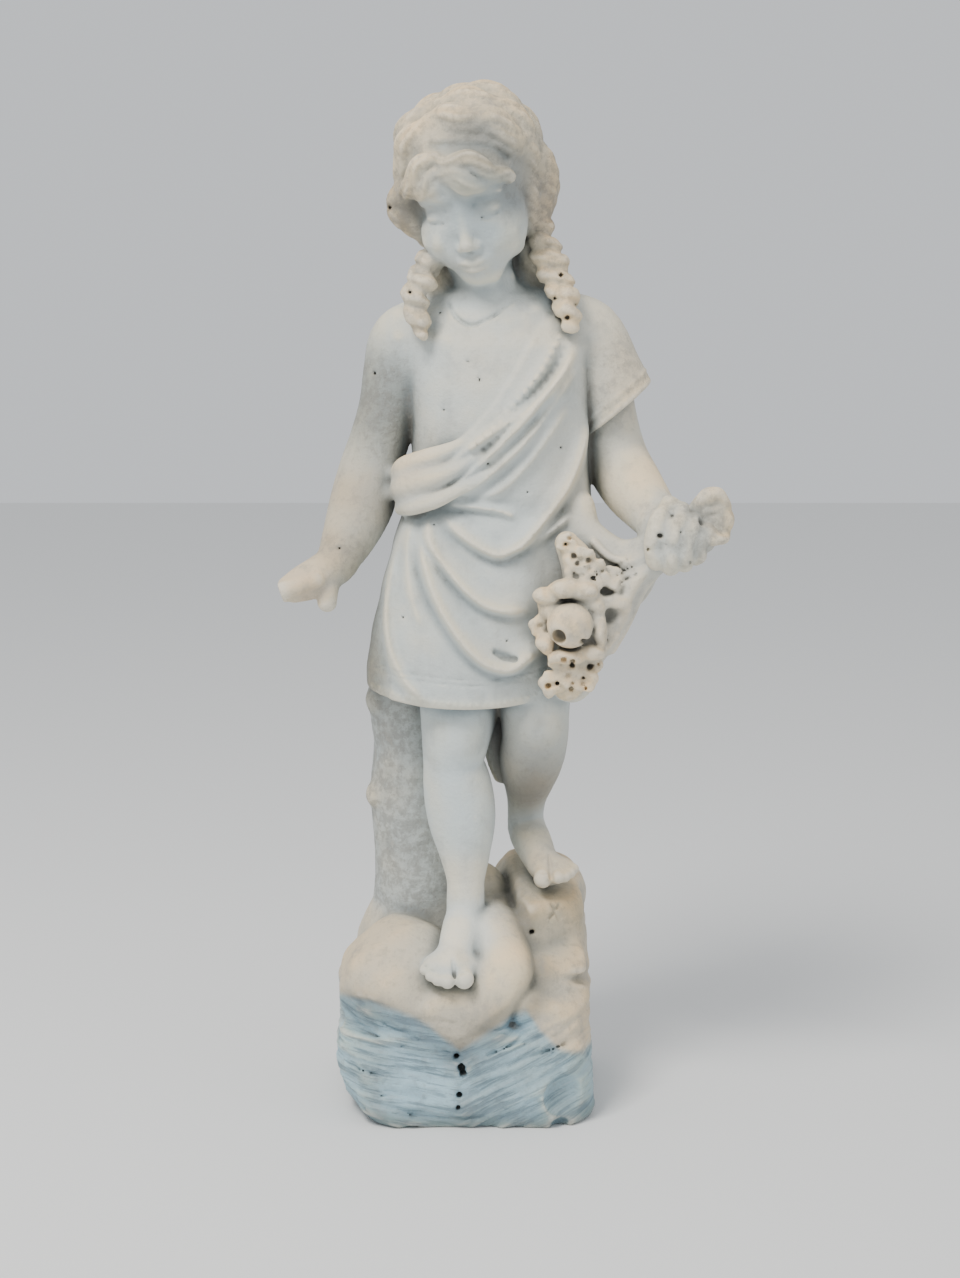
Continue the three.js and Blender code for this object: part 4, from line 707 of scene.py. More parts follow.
def add_leg(leg, foot, sole, toes):
    """A leg, its foot, and toes that run from the ball of the foot to their tips."""
    block.add(limb(leg), 4)
    block.add(limb(foot), 8)
    block.add(egg(*sole), 8)
    for *tip, radius in toes:
        root = np.array(tip) + (np.array(sole[0]) - tip) * TOE_ROOT
        block.add(limb([[*root, radius * 1.05], [*tip, radius * 0.95]]), 3)
        nail = np.array(tip) + [0, -radius * 0.6, radius * 0.75]
        block.cut(egg(nail, [radius * 0.5, radius * 0.4, radius * 0.14]), 0.8)
    (*big, big_radius), (*second, second_radius) = toes[:2]
    gap = (big[0] * second_radius + second[0] * big_radius) / (big_radius + second_radius)
    line = [[gap - 2, big[2] + 20, 1.2], [gap - 1, big[2] + 11, 2.2], [gap, big[2] + 2, 2.4]]
    block.cut(limb(laid(line)), 2)


add_leg(RIGHT_LEG, RIGHT_FOOT, RIGHT_BALL, RIGHT_TOES)
add_leg(LEFT_LEG, LEFT_FOOT, LEFT_BALL, LEFT_TOES)
for centre, radii in KNEECAPS:
    block.add(egg(centre, radii), 10)
block.add(limb(WEB), 3, "stump")
print("two legs and ten toes added")

# %% [markdown]
# ## The raised apron
#
# The left hand gathers a corner of the cloth, and the pocket it makes overflows with blossom. The
# blossoms are carved as knobs with a drilled eye between petals, so each is a few eggs round a hole.

# %% Left arm, sleeve and cloth
LEFT_ARM = [
    [100, 14, 770, 36], [122, 14, 762, 34], [134, 8, 728, 29], [141, 5, 690, 28], [150, 6, 648, 31],
    [162, -12, 625, 31], [178, -42, 604, 26], [190, -68, 590, 21],
]
SLEEVE = [[98, 12, 776, 36], [116, 12, 766, 40], [134, 8, 730, 41], [154, 4, 688, 43]]
SLEEVE_EDGE = half_space([149, 0, 696], [0.63, 0, -0.77])
APRON = [
    [184, -76, 562, 17], [156, -74, 534, 18], [136, -71, 500, 24], [112, -68, 468, 25],
    [103, -66, 438, 22],
]
APRON_SHEET = [[100, -54, 530, 60], [130, -62, 534, 42], [150, -66, 538, 32], [170, -72, 554, 20]]
APRON_EDGE = [
    [112, -46, 606, 14], [118, -52, 584, 14], [132, -58, 571, 13], [150, -64, 563, 12],
    [170, -70, 565, 12], [186, -76, 572, 13],
]
APRON_FOLDS = [
    [[184, -90, 556, 5], [166, -92, 542, 6], [154, -90, 520, 6], [144, -88, 494, 5]],
    [[180, -90, 564, 4], [160, -85, 557, 5], [140, -80, 560, 4], [124, -74, 574, 4]],
    [[182, -84, 546, 4], [170, -80, 528, 5], [158, -76, 502, 5], [142, -74, 470, 5]],
]
FIST = [[188, -66, 590, 22], [200, -76, 590, 24], [212, -82, 582, 23], [224, -84, 580, 17]]
FINGERS = [  # curled over the cloth, side by side
    [[196, -84, 608, 12], [186, -100, 596, 11], [180, -104, 578, 10], [182, -100, 560, 10]],
    [[206, -88, 604, 11], [200, -106, 590, 10], [196, -108, 570, 10], [196, -102, 554, 9]],
    [[216, -88, 598, 10], [213, -104, 584, 10], [211, -106, 568, 9], [210, -100, 556, 8]],
    [[226, -86, 590, 9], [225, -100, 580, 9], [223, -100, 568, 8], [221, -94, 560, 7]],
]
HELD_ROSE = [  # a bud above the fist: its heart and the petals folded round it
    [[234, -84, 602, 17], [242, -84, 596, 16]],
    [[222, -88, 606, 8], [228, -92, 618, 9], [240, -90, 620, 9], [247, -86, 610, 8]],
    [[224, -94, 590, 7], [236, -100, 582, 7], [246, -94, 580, 7], [248, -86, 588, 7]],
]
ROSE_HOLLOW = [[222, -102, 594, 4], [230, -103, 600, 5], [238, -102, 602, 4]]
FIST_HOLES = [
    [186, 584, 3], [192, 577, 2], [174, 571, 2.5], [205, 588, 2], [199, 603, 2], [214, 560, 2],
]
BAND_UP, BAND_HALF, BAND_DEEP = 13, 2, 1.4  # mm above the hem of the sleeve: a drawn thread
STITCH_UP, STITCH_HALF, STITCH_HIGH, STITCH_TURN = 7, 2.4, 1.6, 0.85  # and a row of stitches


def sleeve():
    """A wide tube cut off by the plane of its hem, with a stitched band just above the hem."""
    low, high, tube = limb(SLEEVE)

    def distance(x, y, z):
        past = SLEEVE_EDGE(x, y, z)
        band = BAND_DEEP * np.clip(1 - ((past + BAND_UP) / BAND_HALF) ** 2, 0, 1)
        row = STITCH_HIGH * np.clip(1 - ((past + STITCH_UP) / STITCH_HALF) ** 2, 0, 1)
        band = band - row * (np.sin((x + y) * STITCH_TURN) > 0.2)
        return -blend(-tube(x, y, z) + band, -past, 2)

    return low, high, distance


block.add(limb(LEFT_ARM), 7)
block.add(sleeve(), 2, "cloth")
block.add(limb(APRON), 8, "cloth")
block.add(limb(APRON_SHEET, flat=((0, 1, 0), 2.6)), 5, "cloth")
block.add(limb(APRON_EDGE), 12, "cloth")
for stations in APRON_FOLDS:
    block.add(limb(stations), 5, "cloth")
block.add(limb(FIST), 4)
for finger in FINGERS:
    block.add(limb(finger), 1.5)
for petal in HELD_ROSE:
    block.add(limb(petal), 1.5, "flowers")
block.cut(limb(ROSE_HOLLOW), 2)
for x, z, radius in FIST_HOLES:
    drill(x, z, radius, SMALL_HOLE)
print("left arm holds the cloth")

# %% Blossoms
BOUQUET = [  # what the blossoms lie on
    [98, -84, 574, 12], [110, -88, 552, 18], [118, -88, 520, 24], [112, -86, 470, 22],
    [100, -86, 438, 16],
]
FLOWERS = [  # small five-petalled blossoms: x, y, z, radius
    [97, -98, 576, 11], [111, -102, 559, 14], [124, -98, 548, 12], [106, -102, 545, 11],
    [84, -102, 440, 12], [99, -106, 448, 12], [114, -104, 444, 13], [92, -104, 462, 11],
    [124, -98, 460, 10], [72, -98, 496, 11], [140, -90, 542, 11], [134, -92, 486, 12],
]
PETALS = 5
BIG_BLOSSOM = [100, -113, 499, 22]
BIG_HOLES = [[87, 490, 8], [111, 485, 3.5]]
HOOD = [  # the petals that stand round the big bud: middle, radii
    [[78, -104, 526], [15, 12, 9]], [[94, -110, 534], [17, 13, 9]], [[112, -107, 531], [15, 13, 9]],
    [[126, -103, 517], [9, 12, 12]], [[129, -102, 492], [8, 13, 18]], [[120, -106, 473], [15, 13, 8]],
    [[98, -108, 468], [19, 13, 8]], [[77, -103, 480], [9, 11, 11]],
]
LEAVES = [
    [[138, -90, 516], [20, 13, 13]], [[132, -90, 534], [20, 12, 12]], [[84, -100, 512], [15, 12, 12]],
]
LEAF_HOLLOWS = [
    [[138, -103, 505], [13, 11, 8]], [[136, -102, 529], [9, 10, 5]], [[123, -108, 561], [5, 9, 8]],
]
UNDER_HOOD = [[82, -118, 518, 4], [95, -121, 521, 6], [109, -119, 519, 5], [121, -114, 508, 4]]
DRILL_HOLES = [  # x, z and radius of the drill: dark eyes between the petals
    [99, 580, 2.5], [95, 574, 2], [103, 563, 3.5], [106, 556, 3], [117, 559, 3.5], [121, 543, 3],
    [103, 547, 2], [93, 466, 3.5], [102, 464, 3.5], [102, 459, 3.5], [119, 456, 3.5], [127, 459, 2.5],
    [79, 438, 3.5], [88, 441, 3], [102, 441, 2], [101, 435, 3], [113, 446, 2], [112, 440, 2.2],
    [115, 436, 2], [130, 548, 2], [134, 470, 2],
]
LACE = [[[139, 549], [160, 561]], [[143, 543], [163, 553]], [[148, 537], [164, 545]]]
LACE_HOLES, LACE_RADIUS, LACE_DEPTH = 7, 1.5, 3  # pin holes in a row, mm, mm
EYE_DEPTH = 1.6  # radii


def add_blossom(order, x, y, z, r):
    """A knob with petals round it and a drilled eye, all as shares of the blossom's radius; each
    blossom is turned a little further."""
    block.add(ball([x, y + r * 0.45, z], r * 0.85), 3, "flowers")
    angle = (np.arange(PETALS) + order * 0.37) / PETALS * 2 * np.pi
    for c, s in zip(np.cos(angle), np.sin(angle)):
        middle = [x + r * 0.6 * c, y + r * 0.1, z + r * 0.6 * s]
        block.add(egg(middle, [r * 0.5, r * 0.42, r * 0.5]), 1.5, "flowers")
        block.cut(egg([middle[0], y - r * 0.42, middle[2]], [r * 0.24] * 3), 2)
    block.cut(ball([x, y - r * 0.2, z], r * 0.28), 1)


block.add(limb(BOUQUET), 6, "flowers")
for order, flower in enumerate(FLOWERS):
    add_blossom(order, *flower)
for leaf in LEAVES:
    block.add(egg(*leaf), 4, "flowers")
for hollow in LEAF_HOLLOWS:
    block.cut(egg(*hollow), 2)
for petal in HOOD:
    block.add(egg(*petal), 1.5, "flowers")
block.cut(limb(UNDER_HOOD), 2)


SHAKE_FADE = 12  # mm from the sides of the box over which the shaking dies away


def shake(low, high, size, amount, seed):
    """Moves the marble in a box by smooth random numbers, so that no form in it stays regular: the
    new distance at a point is the old one at the point plus up to `amount` each way."""
    cut, axes = block.window(low, high, 0)
    x, y, z = np.meshgrid(*(a.ravel() for a in axes), indexing="ij")
    away = [x - low[0], high[0] - x, y - low[1], high[1] - y, z - low[2], high[2] - z]
    inner = smooth(np.minimum.reduce(away), 0, SHAKE_FADE)
    moved = [
        v + (speckle(x / size, y / size, z / size, seed + i) - 0.5) * 2 * amount * inner
        for i, v in enumerate((x, y, z))
    ]
    spots = np.stack(moved, -1).reshape(-1, 3)
    block.value[cut] = at_points(block.value, spots).reshape(x.shape)


shake([56, -150, 412], [166, -80, 596], 10, 2.5, 21)
shake([170, -150, 545], [262, -60, 632], 13, 3, 31)
block.add(ball(BIG_BLOSSOM[:3], BIG_BLOSSOM[3]), 1.5, "flowers")
for x, z, radius in BIG_HOLES:
    drill(x, z, radius, 9, (3, 0))
for x, z, radius in DRILL_HOLES:
    drill(x, z, radius, EYE_DEPTH * radius, (1, 1))
for (x0, z0), (x1, z1) in LACE:
    for t in np.linspace(0, 1, LACE_HOLES):
        drill(x0 + (x1 - x0) * t, z0 + (z1 - z0) * t, LACE_RADIUS, LACE_DEPTH)
print(len(FLOWERS), "small blossoms of", PETALS, "petals,", len(DRILL_HOLES), "drill holes")

# %% [markdown]
# ## Head
#
# The head is built upright round the middle of its skull, on the plain proportions of a drawing
# manual, then nodded, turned and leant as one. A child's features sit in the lower half of the head,
# the brow is full and the cheeks are round. The eyes look down, so only the lids show.

# %% The head's own frame
HEAD_CENTRE = np.array([8, -26, 914.0])
HEAD_SIZE = 0.92  # against the head that the forms are given for
NOD, TURN, TILT = (math.radians(v) for v in (19, -16, -10))


def turning(axis, angle):
    """The rotation matrix about a row axis."""
    a, b = [(1, 2), (2, 0), (0, 1)]["xyz".index(axis)]
    m = np.eye(3)
    m[a, a] = m[b, b] = math.cos(angle)
    m[b, a], m[a, b] = math.sin(angle), -math.sin(angle)
    return m


HEAD_TURN = turning("y", TILT) @ turning("z", TURN) @ turning("x", NOD)


def on_head(stations):
    """Stations of the upright head, placed: turned, sized and moved to the skull's middle."""
    stations = np.asarray(stations, float)
    placed = stations * HEAD_SIZE
    placed[:, :3] = placed[:, :3] @ HEAD_TURN.T + HEAD_CENTRE
    return placed


def head_egg(centre, radii):
    """An egg of the head."""
    return egg(on_head([centre])[0], np.array(radii) * HEAD_SIZE, HEAD_TURN)


def head_limb(stations):
    """A limb of the head."""
    return limb(on_head(stations))


print("head turned", [round(math.degrees(v)) for v in (NOD, TURN, TILT)], "degrees")

# %% Hair
CAP_CENTRE, CAP_RADII = np.array([0, 8, 24.0]), np.array([69, 80, 70.0])
LOCKS = [
    # the crown, from the parting to the child's left
    [[-10, 30, 98, 9], [26, 28, 94, 19], [56, 30, 70, 20], [74, 40, 34, 17], [72, 44, 6, 10]],
    [[-12, 0, 100, 9], [20, -8, 98, 19], [52, -4, 78, 20], [74, 10, 42, 19], [78, 22, 6, 12]],
    [[-14, -30, 96, 9], [14, -38, 92, 18], [42, -36, 78, 21], [66, -22, 46, 20], [78, 0, 14, 14]],
    # the crown, from the parting to the child's right
    [[-22, 30, 96, 9], [-46, 30, 84, 18], [-66, 36, 54, 19], [-74, 44, 20, 14]],
    [[-22, 2, 98, 9], [-48, 0, 84, 19], [-68, 8, 54, 20], [-76, 20, 18, 14]],
    [[-24, -28, 92, 8], [-46, -34, 74, 18], [-64, -26, 48, 19], [-70, -20, 22, 15]],
    # down the back of the head
    [[4, 50, 90, 8], [26, 72, 62, 17], [46, 72, 24, 17], [44, 66, -14, 14], [28, 60, -44, 10]],
    [[-8, 52, 90, 8], [-22, 78, 58, 17], [-40, 78, 20, 17], [-44, 66, -16, 14], [-26, 60, -44, 10]],
    [[0, 64, 80, 6], [6, 90, 44, 15], [-2, 94, 4, 15], [4, 80, -36, 12]],
]
UNDER_CROWN = [  # the hollow under the waves of the crown, where the fringe starts
    [-20, -66, 72, 4], [-4, -76, 72, 6], [14, -78, 68, 7], [32, -74, 62, 7], [50, -62, 50, 6],
    [62, -48, 34, 4],
]
FRINGE = [  # short curls that lie on the forehead
    [[-12, -70, 56, 6], [8, -78, 52, 10], [28, -76, 42, 12], [46, -66, 28, 11], [56, -54, 12, 8]],
    [[-14, -78, 46, 6], [2, -82, 38, 10], [18, -80, 28, 11], [32, -74, 22, 8], [40, -68, 26, 5]],
    [[-10, -84, 34, 5], [2, -84, 27, 8], [16, -82, 21, 8], [24, -78, 25, 5]],
    [[-18, -72, 60, 7], [-34, -72, 48, 12], [-50, -60, 32, 13], [-62, -46, 14, 10]],
    [[-16, -80, 40, 6], [-28, -78, 32, 9], [-42, -70, 23, 9], [-52, -60, 18, 6]],
    [[-16, -84, 32, 4], [-24, -82, 26, 7], [-34, -76, 22, 6]],
]
STRANDS, STRAND_DEPTH, STRAND_TURN = 7, 0.2, 0.006  # grooves, share of the radius, turns per mm
SUNK, FRINGE_SUNK = 0.35, -0.15  # share of a lock's radius under the cap
WAVE, WAVE_LENGTH, WAVE_SWELL = 3.5, 46, 0.09  # mm, mm, share of the radius
WAVE_SHIFT = 0.29  # of a turn from one lock to the next


def on_cap(stations, sunk=0.0):
    """A fine path over the cap: each point moved in or out until it lies on the cap, less a share
    `sunk` of its radius. Also the way out from the cap at each point."""
    path = spline(stations, 7)
    out = path[:, :3] - CAP_CENTRE
    far = np.linalg.norm(out, axis=1)
    at = 1 / np.linalg.norm(out / CAP_RADII, axis=1) - sunk * path[:, 3] / far
    path[:, :3] = CAP_CENTRE + out * at[:, None]
    return path, unit(out)


def add_lock(order, stations, sunk=SUNK):
    """A lock lies on the cap with a little of its radius sunk in. Its path swings from side to side
    as a sine of its length, and strands are cut along it."""
    path, away = on_cap(stations, sunk)
    run = unit(np.gradient(path[:, :3], axis=0))
    length = np.cumsum(np.linalg.norm(np.diff(path[:, :3], axis=0, prepend=path[:1, :3]), axis=1))
    phase = 2 * np.pi * (length / WAVE_LENGTH + order * WAVE_SHIFT)
    path[:, :3] += WAVE * np.sin(phase)[:, None] * np.cross(run, away)
    path[:, :3] += WAVE_SWELL * (path[:, 3] * np.cos(phase))[:, None] * away
    up = away[:-1] @ HEAD_TURN.T
    strands = (STRANDS, STRAND_DEPTH, STRAND_TURN, up)
    block.add(limb(on_head(path), steps=1, strands=strands), 2.5, "hair")


NECK = [[26, 6, 770, 44], [24, 0, 800, 35], [20, -8, 824, 31], [14, -14, 850, 33]]
COLLAR = [  # the neckline of the tunic: x, z, and the half-width of the groove above it
    [-16, 802, 1.6], [-12, 792, 2], [-4, 784, 2.2], [6, 780, 2.2], [20, 785, 2], [33, 793, 2],
    [44, 802, 1.6],
]
COLLAR_EDGE = 3.5  # mm, radius of the edge of the cloth
HAIRLINE = [[0, -98, -33], [52, 58, 64]]  # what is taken out of the hair for the face

block.add(limb(NECK), 12)
neckline = laid(COLLAR)
block.add(limb(neckline + [0, 2, -4, 0] + (0, 0, 0, COLLAR_EDGE - 2)), 4, "cloth")
block.cut(limb(neckline), 1)
block.add(head_egg(CAP_CENTRE, CAP_RADII), 4, "hair")
for order, stations in enumerate(LOCKS):
    add_lock(order, stations)
block.cut(limb(on_head(on_cap(UNDER_CROWN)[0]), steps=1), 4)
block.cut(head_egg(*HAIRLINE), 5)
print(len(LOCKS), "locks of", STRANDS, "strands")

# %% A face of plain proportions
FACE = [  # centre, radii and the fillet into the rest
    [[0, 8, 20], [61, 72, 62], 2],
    [[0, -22, -22], [55, 52, 66], 6],
    [[0, -30, 26], [52, 45, 42], 3],
    [[0, -46, -72], [25, 26, 20], 12],
    [[0, -58, -57], [22, 19, 15], 9],
]
CHEEK, SOCKET = [[28, -43, -40], [25, 27, 26]], [[26, -86, -6], [20, 18, 12]]
EYE, EAR = [[26, -54, -9], [15, 13.5, 10]], [[59, 4, -20], [6, 11, 17]]
BROW = [[9, -68, 11, 3], [24, -68, 15, 4], [42, -58, 9, 3]]
LID = [[13, -66, -1, 1.2], [26, -70, 2, 1.4], [39, -62, -2, 1.2]]
LASHES = [[17, -66, -14.5, 1], [26, -68, -17.5, 1.6], [37, -61, -14.5, 1]]
NOSTRIL = [[8, -72, -41], [6, 8, 5.5]]
NOSE = [[0, -66, 4, 5], [0, -69, -14, 5.5], [0, -76, -31, 6.5], [0, -79, -37, 7.5]]
UPPER_LIP = [
    [-16, -69, -59, 2], [-6, -76, -57, 3.6], [0, -76.5, -58.5, 3.2], [6, -76, -57, 3.6],
    [16, -69, -59, 2],
]
LOWER_LIP = [[-12, -70, -64, 2], [0, -75, -66, 4.6], [12, -70, -64, 2]]
MOUTH = [[-17, -73, -61, 1], [0, -80.5, -62, 1.4], [17, -73, -61, 1]]
UNDER_LIP = [[0, -85, -75], [13, 11, 5]]


def to_side(stations, side):
    """Stations with x mirrored for the child's right side."""
    return np.asarray(stations, float) * ([side] + [1] * (len(np.atleast_2d(stations)[0]) - 1))


for centre, radii, soft in FACE:
    block.add(head_egg(centre, radii), soft)
for side in (1, -1):
    block.add(head_egg(to_side(CHEEK[0], side), CHEEK[1]), 12)
    block.cut(head_egg(to_side(SOCKET[0], side), SOCKET[1]), 9)
    block.add(head_limb(to_side(BROW, side)), 8)
    block.add(head_egg(to_side(EYE[0], side), EYE[1]), 2)
    block.cut(head_limb(to_side(LID, side)), 2)
    block.cut(head_limb(to_side(LASHES, side)), 1.5)
    block.add(head_egg(to_side(EAR[0], side), EAR[1]), 4)
block.add(head_limb(NOSE), 5)
for side in (1, -1):
    block.add(head_egg(to_side(NOSTRIL[0], side), NOSTRIL[1]), 4)
block.add(head_limb(UPPER_LIP), 3)
block.add(head_limb(LOWER_LIP), 3)
block.cut(head_limb(MOUTH), 2)
block.cut(head_egg(*UNDER_LIP), 7)
for order, stations in enumerate(FRINGE):
    add_lock(order, stations, FRINGE_SUNK)
print("face and fringe added")

# %% Ringlets
PUFFS = [  # hair gathered at the ears, above the ringlets
    [[50, -38, 950, 14], [64, -30, 938, 20], [70, -20, 918, 22], [68, -14, 898, 20],
     [66, -10, 880, 14]],
    [[40, -52, 938, 9], [56, -44, 920, 13], [60, -34, 898, 13], [62, -22, 878, 12]],
    [[-36, -48, 914, 11], [-54, -42, 908, 14], [-62, -34, 894, 14], [-54, -32, 880, 13],
     [-42, -30, 872, 11]],
]
RINGLETS = [
    [[68, -12, 892, 17], [74, -15, 866, 16], [82, -24, 842, 18], [90, -34, 818, 17],
     [98, -45, 796, 16], [103, -50, 780, 12]],
    [[-24, -22, 868, 14], [-32, -32, 844, 16], [-42, -42, 823, 17], [-48, -47, 804, 16],
     [-45, -51, 786, 13], [-38, -53, 772, 9]],
]
GATHERED = [  # smooth hair beside the face, above the ringlets and behind the neck
    [[-48, -30, 910, 17], [-50, -29, 890, 17], [-36, -20, 868, 13]],
    [[52, -4, 880, 15], [62, -4, 856, 14], [74, -10, 834, 12]],
    [[-16, -14, 876, 13], [-26, -22, 850, 12]],
    [[54, 8, 888, 18], [58, 8, 852, 17], [66, 4, 820, 18]],
    [[-16, 4, 880, 16], [-18, 4, 848, 17], [-24, 2, 818, 17]],
]
TWIST, COIL_STEPS = 19, 10  # mm of ringlet, and spans, to one turn of its curl
CORE_THICK, COIL_OUT, COIL_THICK = 0.62, 0.46, 1.15  # of the radius, of the radius, of the way out
COIL_STRANDS, PUFF_STRANDS = (6, 0.22, 0.0, (0, 0, 1)), (9, 0.22, 0.01, (0.2, -1, 0.1))
CURL_EYES = [
    [92, 828, 2.5], [86, 806, 2.5], [98, 788, 3], [106, 800, 2], [-52, 812, 2.5], [-72, 892, 2.5],
]


def add_ringlet(path):
    """A core along the path, and a tube wound round it as a helix of pitch TWIST."""
    fine = spline(path, 24)
    gaps = np.linalg.norm(np.diff(fine[:, :3], axis=0), axis=1)
    length = np.concatenate([[0], np.cumsum(gaps)])
    steps = round(length[-1] / TWIST * COIL_STEPS)
    at = np.linspace(0, length[-1], steps + 1)
    centre = np.stack([np.interp(at, length, fine[:, i]) for i in range(4)], 1)
    angle = np.arange(steps + 1) / COIL_STEPS * 2 * np.pi
    out = centre[:, 3] * COIL_OUT
    coil = centre[:, :3] + np.stack([out * np.cos(angle), out * np.sin(angle), 0 * out], 1)
    core = np.column_stack([centre[:, :3], centre[:, 3] * CORE_THICK])
    block.add(limb(core, steps=1), 3, "hair")
    curl = np.column_stack([coil, out * COIL_THICK])
    block.add(limb(curl, steps=1, strands=COIL_STRANDS), 1.2, "hair")


for stations in PUFFS:
    block.add(limb(stations, strands=PUFF_STRANDS), 3, "hair")
for stations in GATHERED:
    block.add(limb(stations), 5, "hair")
for path in RINGLETS:
    add_ringlet(path)
shake([20, -90, 762], [128, 12, 880], 14, 3, 41)
shake([-80, -90, 758], [-8, 0, 900], 13, 3, 51)
for x, z, radius in CURL_EYES:
    drill(x, z, radius, 7)
print(len(RINGLETS), "ringlets")

# %% [markdown]
# ## Years outdoors
#
# Rain has eaten the polish. A little is taken off everywhere by smooth random numbers of three sizes,
# more from hair, flowers and rock than from skin and cloth.

# %% Worn by rain
EATEN = {"skin": 0.3, "cloth": 0.3, "hair": 0.7, "flowers": 0.9, "stump": 1.3, "rock": 0.9}  # mm
GRAIN_SIZES = [[22, 0.45], [9, 0.35], [5, 0.2]]  # mm, share


def even_noise(low, count, step, size, seed):
    """The same smooth random numbers as speckle, for a whole grid: blended along one axis at a time."""
    cells = np.ceil(count * step / size).astype(int) + 2
    field = np.random.default_rng(seed).random(cells, dtype=np.float32)
    for axis in range(3):
        place = np.arange(count[axis]) * step / size
        first = place.astype(int)
        part = smooth(place - first, 0, 1).astype(np.float32)
        shape = [1, 1, 1]
        shape[axis] = -1
        part = part.reshape(shape)
        field = field.take(first, axis) * (1 - part) + field.take(first + 1, axis) * part
    return field


rain = sum(
    share * even_noise(block.low, block.count, STEP, size, seed)
    for seed, (size, share) in enumerate(GRAIN_SIZES)
)
block.value += (rain - 0.5) * 2 * np.array([EATEN[k] for k in KINDS], np.float32)[block.kind]
PITS = [
    [14, 729, 1.5], [22, 650, 1.4], [-88, 733, 1.8], [-122, 566, 2], [-24, 792, 1.4], [92, 664, 1.4],
    [3, 746, 1.2], [60, 622, 1.2], [-20, 700, 1], [40, 480, 1], [-60, 500, 1.2], [-30, 590, 1],
]
CHIPPED_SWAG = [[29, 470, 3], [38, 466, 4.5], [48, 463, 3.5]]
for x, z, radius in PITS:
    drill(x, z, radius, SMALL_HOLE)
block.cut(limb(laid(CHIPPED_SWAG)), 1.5)
print("rain took", EATEN, "mm at most each way")

# %% [markdown]
# ## Skin of the block
#
# The surface is where the distances change sign. Marching cubes would find it with a table of cases;
# surface nets need none. Each little cube that the surface crosses gets one point, at the mean of the
# crossings on its edges, and each crossed grid edge joins the points of the four cubes round it.

# %% Surface nets


def surface_net(value, low, step):
    """Points and quads of the surface value = 0, as whole arrays."""
    inside = value < 0
    shape = np.array(inside.shape) - 1
    held = sum(
        inside[i : i + shape[0], j : j + shape[1], k : k + shape[2]].astype(np.uint8)
        for i in (0, 1) for j in (0, 1) for k in (0, 1)
    )
    active = (held > 0) & (held < 8)
    cells = np.argwhere(active)
    number = np.full(active.shape, -1, np.int32)
    number[tuple(cells.T)] = np.arange(len(cells))
    total, hits = np.zeros((len(cells), 3)), np.zeros((len(cells), 1))
    for axis in range(3):
        u, w = [i for i in range(3) if i != axis]
        for du in (0, 1):
            for dw in (0, 1):
                start = cells.copy()
                start[:, u] += du
                start[:, w] += dw
                end = start.copy()
                end[:, axis] += 1
                a, b = value[tuple(start.T)], value[tuple(end.T)]
                crossed = ((a < 0) != (b < 0))[:, None]
                t = (a / np.where(a == b, 1, a - b))[:, None]
                point = start.astype(float)
                point[:, axis] += t[:, 0]
                total += np.where(crossed, point, 0)
                hits += crossed
    points = total / hits * step + low
    quads = []
    for axis in range(3):
        u, w = (axis + 1) % 3, (axis + 2) % 3
        first = [slice(1, -1)] * 3
        first[axis] = slice(0, -1)
        second = list(first)
        second[axis] = slice(1, None)
        a, b = inside[tuple(first)], inside[tuple(second)]
        offset = np.ones(3, int)
        offset[axis] = 0
        for crossing, flip in ((a & ~b, False), (~a & b, True)):
            at = np.argwhere(crossing) + offset
            ring = []
            for du, dw in ((0, 0), (-1, 0), (-1, -1), (0, -1)):
                cell = at.copy()
                cell[:, u] += du
                cell[:, w] += dw
                ring.append(number[tuple(cell.T)])
            quad = np.stack(ring[::-1] if flip else ring, 1)
            quads.append(quad)
    return points, np.concatenate(quads)


def largest_shell(points, quads):
    """Keeps the largest connected surface. Each point takes the lowest number among its neighbours
    until nothing changes, so that every shell ends with one number."""
    label = np.arange(len(points))
    a, b = quads[:, [0, 1, 2, 3]].ravel(), quads[:, [1, 2, 3, 0]].ravel()
    while True:
        least = np.minimum(label[a], label[b])
        new = label.copy()
        np.minimum.at(new, a, least)
        np.minimum.at(new, b, least)
        new = new[new]
        if (new == label).all():
            break
        label = new
    keep = label == np.bincount(label).argmax()
    number = np.cumsum(keep) - 1
    return points[keep], number[quads[keep[quads[:, 0]]]]


x, y, z = np.meshgrid(*[block.low[i] + STEP * np.arange(block.count[i]) for i in range(3)],
                      indexing="ij", sparse=True)
block.value = np.maximum(block.value, (-z).astype(np.float32))  # the flat underside
points, quads = largest_shell(*surface_net(block.value, block.low, STEP))
print(len(points), "points and", len(quads), "quads, lowest", round(points[:, 2].min(), 2), "mm")

# %% [markdown]
# ## The marble as a mesh
#
# The net is even, so its smooth places have far more faces than they need. A Decimate modifier joins
# them where the surface is nearly flat and leaves them close together in curls, toes and petals.

# %% Mesh of the statue
MOST_TRIANGLES = 195_000


def net_mesh(name, points, quads):
    """A mesh object from whole arrays, with every quad cut into two triangles."""
    triangles = np.concatenate([quads[:, [0, 1, 2]], quads[:, [0, 2, 3]]]).astype(np.int32)
    mesh = bpy.data.meshes.new(name)
    mesh.vertices.add(len(points))
    mesh.vertices.foreach_set("co", (points * MM).astype(np.float32).ravel())
    mesh.loops.add(triangles.size)
    mesh.loops.foreach_set("vertex_index", triangles.ravel())
    mesh.polygons.add(len(triangles))
    mesh.polygons.foreach_set("loop_start", np.arange(0, triangles.size, 3, dtype=np.int32))
    mesh.update(calc_edges=True)
    mesh.validate()
    piece = bpy.data.objects.new(name, mesh)
    bpy.context.scene.collection.objects.link(piece)
    return piece


